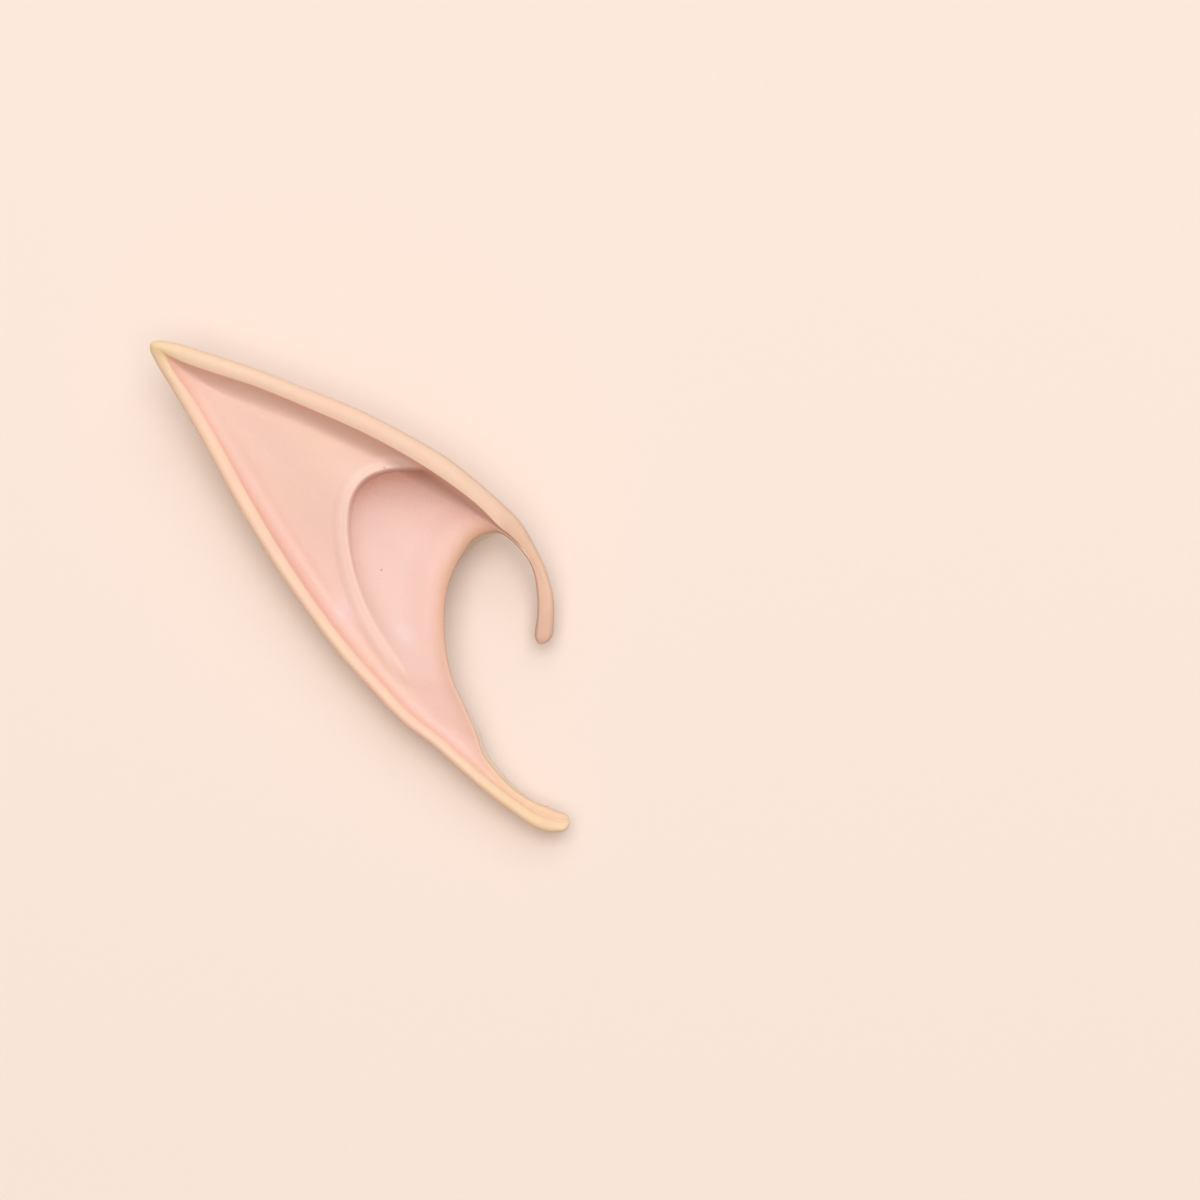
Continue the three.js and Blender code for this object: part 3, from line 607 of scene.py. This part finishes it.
def cap_rings(loop, outward, length):
    """Rings that close an end: the loop shrinks as a cosine while it moves out as a sine."""
    middle = loop.mean(axis=0)
    turn = (np.arange(1, CAP_RINGS + 1) / CAP_RINGS * CAP_TURN * np.pi / 2)[:, None, None]
    rings = middle + (loop - middle) * np.cos(turn) + outward * length * np.sin(turn)
    return rings, middle + outward * length


def loft_faces(ring_count, count):
    """Quads between neighbouring rings, and the two fans of triangles that close the ends."""
    i = np.arange(ring_count - 1)[:, None] * count
    j = np.arange(count)[None]
    after = (j + 1) % count
    quads = np.stack([i + j, i + after, i + after + count, i + j + count], axis=-1).reshape(-1, 4)
    first, last = ring_count * count, ring_count * count + 1
    edge = (ring_count - 1) * count
    j, after = j[0], after[0]
    start_fan = np.column_stack([np.full(count, first), after, j])
    end_fan = np.column_stack([np.full(count, last), edge + j, edge + after])
    return quads, np.vstack([start_fan, end_fan])


def mesh_from_arrays(name, vertices, quads, triangles):
    """A mesh of quads and triangles, filled from whole arrays."""
    mesh = bpy.data.meshes.new(name)
    mesh.vertices.add(len(vertices))
    mesh.vertices.foreach_set("co", vertices.astype(np.float32).ravel())
    corners = np.concatenate([quads.ravel(), triangles.ravel()])
    totals = np.concatenate([np.full(len(quads), 4), np.full(len(triangles), 3)])
    mesh.loops.add(len(corners))
    mesh.loops.foreach_set("vertex_index", corners.astype(np.int32))
    mesh.polygons.add(len(totals))
    mesh.polygons.foreach_set("loop_start", (np.cumsum(totals) - totals).astype(np.int32))
    mesh.polygons.foreach_set("use_smooth", np.ones(len(totals), dtype=bool))
    mesh.update(calc_edges=True)
    mesh.validate()
    return mesh


def add_point_values(mesh, name, values):
    layer = mesh.attributes.new(name, "FLOAT", "POINT")
    layer.data.foreach_set("value", values.astype(np.float32).ravel())


def stretch(u, name):
    """S-curves in and out along the ear's rows, from the table of stretches."""
    start, fade_in, end, fade_out = STRETCHES[name]
    return smoothstep((u - start) / fade_in) * smoothstep((end - u) / fade_out)


def bell(distance, width):
    return np.exp(-((distance / width) ** 2))


def painted_sheen_share(surface, points):
    """Greatest of a bell curve over each painted highlight's ellipse, at plan points in millimetres.
    """
    total = np.zeros(points.shape[:-1])
    for x, y, length, width, turn in PAINTED_SHEENS:
        gap = points - surface.size[:2] * (x, y)
        turn = np.radians(turn)
        along = gap[..., 0] * np.cos(turn) + gap[..., 1] * np.sin(turn)
        across = gap[..., 1] * np.cos(turn) - gap[..., 0] * np.sin(turn)
        total = np.maximum(total, bell(along, length) * bell(across, width))
    return total


def shade_share(surface, points, r, q, row, u):
    """Painted soft shade inside the ridge, deepest below its top, and under the rim beside the arch,
    where the ear lies in shadow: a bell curve of the distance from the ridge's line, one of the way
    down from its top and one of the distance from the rim. An S-curve starts the first two just
    inside the line."""
    ridge_top = surface.ridge_line[:, 1].max()
    top = smoothstep((SHADE_TOP_ROW - row) / SHADE_TOP_ROWS)
    narrow = between(*SHADE_NARROW, top) * bell(q, between(*SHADE_NARROW_WIDTH, top))
    narrow *= smoothstep((SHADE_LAST_ROW - row) / SHADE_LAST_ROWS)
    wide = SHADE_WIDE * bell(ridge_top - points[..., 1], SHADE_WIDE_RUN)
    below_ridge = (narrow + wide) * smoothstep((-q - SHADE_START) / SHADE_START_RUN)
    arch = stretch(u, "arch")
    below_rim = SHADE_RIM * bell(surface.inner - r, between(*SHADE_RIM_REACH, arch))
    below_rim *= stretch(u, "upper_wall") * between(SHADE_RIM_FAINT, 1.0, arch)
    return 1 - (1 - below_ridge) * (1 - below_rim)


def bowl_shares(surface, r, u):
    """Shares of the bead's painted highlight, the painted shade and the painted sheen on the bowl's
    front, from each point's plan place.
    """
    points = surface.plan(r)
    q, row = surface.ridge_place(points)
    inside = smoothstep(1 + q / BEAD_PAINT_RUN)
    return {"bead": surface.ridge_bead(np.maximum(q, 0), row) * inside,
            "shade": shade_share(surface, points, r, q, row, u),
            "painted_sheen": painted_sheen_share(surface, points)}


def paint_values(surface, r, front_count, back_count):
    """Shares of each colour over the surface, from each point's place in its section.

    rim: the cream band and the side below it. upper: the upper rim's stretch. groove: the flush
    along the long rim's wall foot. wall: painted shade on the rim's inner wall. lip: the tan of the
    crescent's rolled edge, partly its own colour and partly painted shade where it turns away from
    the light. seam: the thin darker tan line along the silhouette. low: the paler concha
    and lower bowl. tip, hook, hook_end and tail: how near a point is to the end that is named.
    back: everything behind the silhouette and in the pocket."""
    s = surface
    column = np.arange(r.shape[1])[None] + 0 * r
    front = column < front_count
    outside = column < front_count + back_count
    over = r - s.inner
    u = s.u[:, None] + 0 * r
    cream = smoothstep((over + CREAM_START) / CREAM_RUN)
    side = np.where(outside, smoothstep((over + SIDE_RUN) / SIDE_RUN), 0.0)
    rim = np.where(front, cream, side)
    # Painted shade on the rim's inner wall, fading in towards the band.
    wall = smoothstep((over + WALL_PAINT_RUN) / WALL_PAINT_RUN) * (1 - cream)
    # Tan of the rolled lip: partly its own colour, partly painted shade where it turns away from the
    # light.
    lip = 1 - smoothstep(r / np.minimum(LIP_PAINT_RUN, LIP_PAINT_LIMIT * s.inner))
    # A thin darker tan line along the silhouette, strongest beside the arch.
    seam = bell(r - s.width, SILHOUETTE_LINE_WIDTH) * between(SILHOUETTE_LINE_FAINT, 1.0, stretch(u, "seam"))
    low = smoothstep((s.ridge_r + CONCHA_PAINT_START - r) / CONCHA_PAINT_RUN)
    shares = {
        "rim": rim,
        "upper": stretch(u, "upper"),
        "groove": np.where(front, bell(over + FLUSH_AWAY, FLUSH_WIDTH), 0.0) * stretch(u, "groove"),
        "wall": np.where(front, wall, 0.0),
        "lip": np.where(front, lip, 0.0) * between(LIP_FAINT, 1.0, stretch(u, "lip")),
        "seam": np.where(outside, seam, 0.0),
        "low": np.maximum(low * stretch(u, "concha"), stretch(u, "lower_bowl")),
        "tip": bell(u - TIP_ROW, TIP_ROWS),
        "hook": stretch(u, "hook"),
        "hook_end": stretch(u, "hook_end"),
        "tail": stretch(u, "tail"),
        "back": np.where(front, 0.0, 1.0),
    }
    bowl = bowl_shares(s, r[:, :front_count], u[:, :front_count])
    behind = ((0, 0), (0, r.shape[1] - front_count))
    for name, values in bowl.items():
        shares[name] = np.pad(values, behind) * (1 - rim)
    shares["painted_sheen"] = np.pad(bowl["painted_sheen"], behind)
    return shares


def ear_mesh(form):
    """The whole ear: section loops, a rounded cap on the hook's end and one on the tail's end."""
    surface = EarSurface(form)
    loops, r, front_count, back_count = surface.loops()
    ends = {}
    for end, index, inner, length in (("hook", 0, 1, form.hook_cap), ("tail", -1, -2, form.tail_cap)):
        outward = np.append(surface.out[index] - surface.out[inner], 0.0)
        outward /= np.linalg.norm(outward)
        ends[end] = cap_rings(loops[index], outward, length / MM)
    rings = np.concatenate([ends["hook"][0][::-1], loops, ends["tail"][0]])
    tips = np.array([ends["hook"][1], ends["tail"][1]])
    vertices = np.vstack([rings.reshape(-1, 3), tips]) * MM
    low, high = vertices.min(axis=0), vertices.max(axis=0)
    shift = (FRAME_LOW + FRAME_HIGH - low - high) / 2
    shift[2] = FRAME_LOW[2] - low[2]
    quads, triangles = loft_faces(len(rings), rings.shape[1])
    mesh = mesh_from_arrays("ear_skin", vertices + shift, quads, triangles)
    for name, values in paint_values(surface, r, front_count, back_count).items():
        padded = np.concatenate([np.repeat(values[:1], CAP_RINGS, axis=0), values,
                                 np.repeat(values[-1:], CAP_RINGS, axis=0)])
        ends_mean = [values[0].mean(), values[-1].mean()]
        add_point_values(mesh, name, np.append(padded.ravel(), ends_mean))
    return mesh


class NodeBench:
    """Short ways to add and join the nodes of one material."""

    def __init__(self, name):
        self.material = bpy.data.materials.new(name)
        self.material.use_nodes = True
        self.tree = self.material.node_tree
        self.tree.nodes.clear()

    def add(self, kind, settings=(), inputs=()):
        node = self.tree.nodes.new(kind)
        for key, value in dict(settings).items():
            setattr(node, key, value)
        for key, value in dict(inputs).items():
            if isinstance(value, bpy.types.NodeSocket):
                self.tree.links.new(value, node.inputs[key])
            else:
                node.inputs[key].default_value = value
        return node

    def attribute(self, name):
        return self.add("ShaderNodeAttribute", {"attribute_name": name}).outputs["Fac"]

    def math(self, operation, a, b):
        return self.add("ShaderNodeMath", {"operation": operation}, {0: a, 1: b}).outputs[0]

    def mix(self, amount, under, over):
        node = self.add("ShaderNodeMix", {"data_type": "RGBA"}, {0: amount, 6: under, 7: over})
        return node.outputs[2]

    def layers(self, base, layers, skin):
        """The base under each layer in turn, where the layer's attribute says."""
        for place, paint, strength in layers:
            strength = getattr(skin, strength) if isinstance(strength, str) else strength
            amount = self.math("MULTIPLY", self.attribute(place), strength)
            base = self.mix(amount, base, colour(getattr(skin, paint)))
        return base

    def noise(self, place, scale, detail=2.0, roughness=0.5):
        inputs = {"Vector": place, "Scale": scale, "Detail": detail, "Roughness": roughness}
        return self.add("ShaderNodeTexNoise", {}, inputs).outputs[0]

    def spread(self, value, low, high, to_low=0.0, to_high=1.0):
        settings = {"interpolation_type": "SMOOTHSTEP"}
        inputs = {0: value, 1: low, 2: high, 3: to_low, 4: to_high}
        return self.add("ShaderNodeMapRange", settings, inputs).outputs[0]


def colour(value):
    return (*value, 1.0)


def latex_material(skin):
    """Painted latex: a pink bowl and a cream rim that fade into each other, layers of painted shade,
    tan and painted highlights on the bead and in sheen patches over them, soft mottling, fine grain
    and two small pits."""
    bench = NodeBench("ear_latex")
    place = bench.add("ShaderNodeTexCoord").outputs["Object"]
    mottle = bench.noise(place, MOTTLE_WAVES, 3.0, 0.55)
    cloud = bench.noise(place, CLOUD_WAVES)
    dimples = bench.noise(place, DIMPLE_WAVES, 3.0, 0.55)
    grain = bench.noise(place, GRAIN_WAVES, 2.0, 0.6)
    pits = pit_mask(bench, place)
    pink = bench.mix(bench.spread(cloud, 0.35, 0.68), colour(skin.bowl), colour(skin.bowl_warm))
    pink = bench.layers(pink, BOWL_LAYERS, skin)
    cream = bench.mix(bench.spread(mottle, 0.35, 0.7), colour(skin.rim), colour(skin.rim_warm))
    cream = bench.layers(cream, RIM_LAYERS, skin)
    blur = bench.math("MULTIPLY", bench.math("SUBTRACT", mottle, 0.5), RIM_BLUR)
    rim = bench.spread(bench.math("ADD", bench.attribute("rim"), blur), 0.25, 0.75)
    latex = bench.layers(bench.mix(rim, pink, cream), TOP_LAYERS, skin)
    inside = bench.math("MULTIPLY", bench.attribute("back"),
                        bench.math("SUBTRACT", 1.0, bench.attribute("rim")))
    latex = bench.mix(inside, latex, colour(skin.back))
    latex = bench.mix(bench.spread(grain, 0.3, 0.8, 0.0, GRAIN_COLOUR), latex, colour(skin.back))
    latex = bench.mix(bench.math("MULTIPLY", pits, PIT_COLOUR), latex, colour(skin.pit))
    height = bench.math("ADD", bench.math("MULTIPLY", grain, GRAIN_HEIGHT), dimples)
    height = bench.math("SUBTRACT", height, bench.math("MULTIPLY", pits, PIT_DEPTH))
    bump = bench.add("ShaderNodeBump", {}, {"Strength": BUMP_STRENGTH, "Distance": BUMP_DISTANCE,
                                            "Height": height})
    rough = bench.spread(mottle, 0.3, 0.75, ROUGH_LOW, ROUGH_HIGH)
    shader = bench.add("ShaderNodeBsdfPrincipled", {}, {
        "Base Color": latex, "Roughness": rough, "Normal": bump.outputs[0],
        "Specular IOR Level": LATEX_SPECULAR, "Subsurface Weight": UNDER_SKIN,
        "Subsurface Scale": UNDER_SKIN_SCALE, "Subsurface Radius": UNDER_SKIN_RADIUS})
    bench.add("ShaderNodeOutputMaterial", {}, {"Surface": shader.outputs[0]})
    return bench.material


def pit_mask(bench, place):
    """One where the plan distance to a pit is less than its radius, and only on the front."""
    plan = bench.add("ShaderNodeVectorMath", {"operation": "MULTIPLY"},
                     {0: place, 1: (1.0, 1.0, 0.0)}).outputs[0]
    total = None
    for x, y, radius in PITS:
        centre = FRAME_LOW[:2] + FRAME_SIZE[:2] * (x, y)
        gap = bench.add("ShaderNodeVectorMath", {"operation": "DISTANCE"},
                        {0: plan, 1: (*centre, 0.0)}).outputs["Value"]
        spot = bench.spread(gap, radius * 0.5, radius, 1.0, 0.0)
        total = spot if total is None else bench.math("MAXIMUM", total, spot)
    front = bench.math("SUBTRACT", 1.0, bench.attribute("back"))
    return bench.math("MULTIPLY", total, front)


def table_material(stage):
    """Smooth pale card, with the faintest grain."""
    bench = NodeBench("table_card")
    place = bench.add("ShaderNodeTexCoord").outputs["Object"]
    grain = bench.noise(place, CARD_WAVES)
    base = bench.mix(bench.spread(grain, 0.3, 0.7, 0.0, CARD_GRAIN), colour(stage.table_colour),
                     colour(CARD_GRAIN_COLOUR))
    shader = bench.add("ShaderNodeBsdfPrincipled", {}, {
        "Base Color": base, "Roughness": CARD_ROUGHNESS, "Specular IOR Level": CARD_SPECULAR})
    bench.add("ShaderNodeOutputMaterial", {}, {"Surface": shader.outputs[0]})
    return bench.material


def number_property(name, description, default, **kind):
    return bpy.props.FloatProperty(name=name, description=description, default=default, **kind)


def length_property(name, description, default):
    return number_property(name, description, default, min=0.0, precision=4, unit="LENGTH")


def colour_property(name, description, default):
    return bpy.props.FloatVectorProperty(name=name, description=description, default=default,
                                         subtype="COLOR", size=3, min=0.0, max=1.0)


class EAR_PG_form(bpy.types.PropertyGroup):
    """Sizes of the ear's shell."""

    width: length_property("Width", "Width of the ear's box", float(FRAME_SIZE[0]))
    length: length_property("Length", "Length of the ear's box", float(FRAME_SIZE[1]))
    height: length_property("Height", "Height of the ear as it lies", float(FRAME_SIZE[2]))
    wall: length_property("Wall", "Thickness of the latex", 0.0012)
    lip_width: length_property("Lip width", "Width of the crescent's rolled lip", 0.0018)
    rim_depth: length_property("Rim depth", "How far the rim's roll reaches in", 0.0034)
    ridge_width: length_property("Ridge width", "Width of the curled ridge", 0.0026)
    ridge_height: length_property("Ridge height", "Height of the curled ridge", 0.0006)
    ridge_face: length_property("Ridge face", "Run of the ridge's steep inner face", 0.0009)
    concha_step: length_property("Concha step", "Drop from the ridge into the concha", 0.0024)
    concha_run: length_property("Concha run", "Run from the ridge to the concha's floor", 0.008)
    concha_low: length_property("Concha's foot", "Where the concha starts up the ear", 0.027)
    concha_rise: length_property("Concha's rise", "From its start up to the full concha", 0.036)
    rim_clear: length_property("Rim clear", "Room between the ridge's end and the rim", 0.001)
    rim_shore: length_property("Rim shore", "Run over which ridge and concha end there", 0.003)
    lip_shore: length_property("Lip shore", "Run from the lip to the concha's floor", 0.008)
    groove_depth: length_property("Groove depth", "Depth of the groove inside the rim", 0.0005)
    groove_width: length_property("Groove width", "Width of the groove inside the rim", 0.0024)
    back_run: length_property("Back run", "Run of the back's rise to the mouth", 0.009)
    back_round: length_property("Back round", "Rounding between hull and belly", 0.0024)
    pocket_end_gap: length_property("Pocket end", "Room at the pocket's blind end", 0.0009)
    dimple: length_property("Dimple", "Depth of the groove inside hook and tail", 0.0003)
    hook_cap: length_property("Hook cap", "Length of the hook's rounded end", 0.0021)
    tail_cap: length_property("Tail cap", "Length of the tail's rounded end", 0.0019)
    sag_depth: length_property("Sag", "How far the floor hangs beside the long rim", 0.005)
    sag_high: length_property("Sag's top", "From the tip-to-tail line up to the sag's start", 0.012)
    sag_low: length_property("Sag's foot", "From the tip-to-tail line down to full sag", 0.008)
    sag_run: length_property("Sag's run", "From the tip to where the sag is full", 0.05)
    floor_slope: number_property("Floor slope", "Rise of the floor for each length of run", 0.052)
    first_drop: number_property("First drop", "Share of the concha's drop at the face", 0.3)
    wall_bend: number_property("Wall bend", "Power of the wall's rise: high turns up late", 2.1)
    hull_slope: number_property("Hull slope", "Fall of the back for each length of run", 1.35)


class EAR_PG_skin(bpy.types.PropertyGroup):
    """Colours of the latex, and of the shade and highlights painted on it."""

    bowl: colour_property("Bowl", "Pink of the bowl", (0.80, 0.50, 0.415))
    bowl_warm: colour_property("Warm bowl", "Warmer clouds in the bowl", (0.80, 0.525, 0.415))
    concha: colour_property("Concha", "Paler pink of concha and lower bowl", (0.81, 0.52, 0.445))
    # Painted highlight along the ridge's raised bead.
    bead: colour_property("Bead", "Pale pink of the ridge", (0.83, 0.57, 0.49))
    # Painted shade inside the ridge and under the rim beside the arch.
    shade: colour_property("Shade", "Mauve below ridge and arch", (0.49, 0.215, 0.155))
    # Painted highlight: pale sheen patches in the bowl.
    painted_sheen: colour_property("Sheen", "Pale patches in the bowl", (0.86, 0.62, 0.62))
    groove: colour_property("Groove", "Flush along the long rim", (0.80, 0.38, 0.27))
    # Painted shade on the rim's inner wall.
    wall: colour_property("Wall", "Rim's inner wall", (0.80, 0.40, 0.28))
    rim: colour_property("Rim", "Cream of the rim", (0.81, 0.56, 0.395))
    rim_warm: colour_property("Warm rim", "Pinker patches of the rim", (0.81, 0.53, 0.40))
    rim_upper: colour_property("Upper rim", "Duller latex of the upper rim", (0.72, 0.49, 0.36))
    tip: colour_property("Tip", "Yellowed latex at the tip", (0.79, 0.59, 0.33))
    # Partly the lip's own tan, partly painted shade where it turns away from the light.
    lip: colour_property("Lip", "Tan of the crescent's lip", (0.64, 0.355, 0.22))
    seam: colour_property("Seam", "Thin tan line along the silhouette", (0.55, 0.38, 0.27))
    hook: colour_property("Hook", "Tan of the hook", (0.72, 0.45, 0.31))
    hook_end: colour_property("Hook's end", "Darker end of the hook", (0.58, 0.34, 0.25))
    tail: colour_property("Tail", "Cream yellow of the tail", (0.78, 0.55, 0.315))
    back: colour_property("Back", "Natural latex behind and inside", (0.80, 0.62, 0.47))
    pit: colour_property("Pit", "Dark of the small pits", (0.25, 0.12, 0.10))
    flush: number_property("Flush", "Strength of the groove's colour", 0.08, min=0.0, max=1.0)
    shading: number_property("Shading", "Strength of the soft shade", 1.0, min=0.0, max=1.0)


class EAR_PG_stage(bpy.types.PropertyGroup):
    """Table, light and camera."""

    table_colour: colour_property("Table", "Colour of the table", (0.80, 0.655, 0.565))
    table_size: length_property("Table size", "Side of the table", 3.0)
    key_power: number_property("Key power", "Power of the soft key light", 28.0, unit="POWER")
    key_elevation: number_property("Key elevation", "Key light's height above the table",
                                   np.radians(56.0), subtype="ANGLE")
    key_azimuth: number_property("Key azimuth", "Key light's turn from +Y towards +X",
                                 np.radians(14.0), subtype="ANGLE")
    key_distance: length_property("Key distance", "From the key light to the ear", 2.4)
    key_size: length_property("Key size", "Side of the key light", 2.2)
    key_colour: colour_property("Key colour", "Cool light of the key", (0.72, 0.87, 1.0))
    fill: number_property("Fill", "Strength of the light from all round", 0.34)
    top_power: number_property("Top power", "Power of the light overhead", 41.0, unit="POWER")
    top_size: length_property("Top size", "Side of the broad light overhead", 2.2)
    top_height: length_property("Top height", "Height of the broad light overhead", 2.2)
    top_shift: length_property("Top shift", "How far beyond the ear the broad light hangs", 0.3)
    fill_colour: colour_property("Fill colour", "Warm light from all round", (1.0, 0.96, 0.93))
    camera_x: length_property("Camera X", "Camera's place along X", 0.04316)
    camera_y: number_property("Camera Y", "Camera's place along Y", -0.00205, unit="LENGTH")
    camera_height: length_property("Camera height", "Camera above the table", 0.613)
    lens: number_property("Lens", "Focal length in millimetres", 100.0)


def add_object(context, name, data):
    item = bpy.data.objects.new(name, data)
    context.collection.objects.link(item)
    return item


class EAR_OT_shell(bpy.types.Operator):
    """Model the hollow latex ear and give it its painted skin"""

    bl_idname = "ear.shell"
    bl_label = "Ear Shell"

    def execute(self, context):
        mesh = ear_mesh(context.scene.ear_form)
        mesh.materials.append(latex_material(context.scene.ear_skin))
        ear = add_object(context, "ear_skin", mesh)
        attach(ear, "root")
        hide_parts("ear_shell")
        return {"FINISHED"}


class EAR_OT_stage(bpy.types.Operator):
    """Add the plain table, the soft light and the camera above"""

    bl_idname = "ear.stage"
    bl_label = "Table, Light and Camera"

    def execute(self, context):
        stage = context.scene.ear_stage
        self.add_table(context, stage)
        self.add_light(context, stage)
        self.add_camera(context, stage)
        context.scene.view_settings.view_transform = "Standard"
        return {"FINISHED"}

    def add_table(self, context, stage):
        half = stage.table_size / 2
        corners = [(-half, -half, 0), (half, -half, 0), (half, half, 0), (-half, half, 0)]
        mesh = bpy.data.meshes.new("table")
        mesh.from_pydata(corners, [], [(0, 1, 2, 3)])
        mesh.materials.append(table_material(stage))
        add_object(context, "table", mesh)

    def add_area(self, context, name, power, size, tint, place):
        light = bpy.data.lights.new(name, "AREA")
        light.energy, light.size, light.color = power, size, tint
        lamp = add_object(context, name, light)
        lamp.location = place
        return lamp

    def add_light(self, context, stage):
        up, turn = stage.key_elevation, stage.key_azimuth
        way = np.array([np.sin(turn) * np.cos(up), np.cos(turn) * np.cos(up), np.sin(up)])
        key = self.add_area(context, "key", stage.key_power, stage.key_size, stage.key_colour,
                            way * stage.key_distance)
        key.rotation_euler = (np.pi / 2 - up, 0.0, -turn + np.pi)
        overhead = self.add_area(context, "overhead", stage.top_power, stage.top_size,
                                 stage.fill_colour, (0.0, stage.top_shift, stage.top_height))
        overhead.visible_camera = False
        world = bpy.data.worlds.new("studio")
        world.use_nodes = True
        background = world.node_tree.nodes["Background"]
        background.inputs["Color"].default_value = colour(stage.fill_colour)
        background.inputs["Strength"].default_value = stage.fill
        context.scene.world = world

    def add_camera(self, context, stage):
        data = bpy.data.cameras.new("camera")
        data.lens = stage.lens
        data.clip_start = 0.01
        camera = add_object(context, "camera", data)
        camera.location = (stage.camera_x, stage.camera_y, stage.camera_height)
        context.scene.camera = camera


class EAR_PT_tools(bpy.types.Panel):
    """The ear's tools in the sidebar."""

    bl_idname = "EAR_PT_tools"
    bl_label = "Elf Ear Tip"
    bl_space_type = "VIEW_3D"
    bl_region_type = "UI"
    bl_category = "Ear"

    def draw(self, context):
        layout = self.layout
        for operator in (EAR_OT_shell, EAR_OT_stage):
            layout.operator(operator.bl_idname)
        for group in (context.scene.ear_form, context.scene.ear_skin, context.scene.ear_stage):
            box = layout.box()
            for name in group.bl_rna.properties.keys():
                if name not in {"rna_type", "name"}:
                    box.prop(group, name)


CLASSES = (EAR_PG_form, EAR_PG_skin, EAR_PG_stage, EAR_OT_shell, EAR_OT_stage, EAR_PT_tools)


def register():
    for item in CLASSES:
        bpy.utils.register_class(item)
    bpy.types.Scene.ear_form = bpy.props.PointerProperty(type=EAR_PG_form)
    bpy.types.Scene.ear_skin = bpy.props.PointerProperty(type=EAR_PG_skin)
    bpy.types.Scene.ear_stage = bpy.props.PointerProperty(type=EAR_PG_stage)


def unregister():
    del bpy.types.Scene.ear_stage
    del bpy.types.Scene.ear_skin
    del bpy.types.Scene.ear_form
    for item in reversed(CLASSES):
        bpy.utils.unregister_class(item)


def main():
    register()
    bpy.ops.ear.stage()
    bpy.ops.ear.shell()


if __name__ == "__main__":
    main()
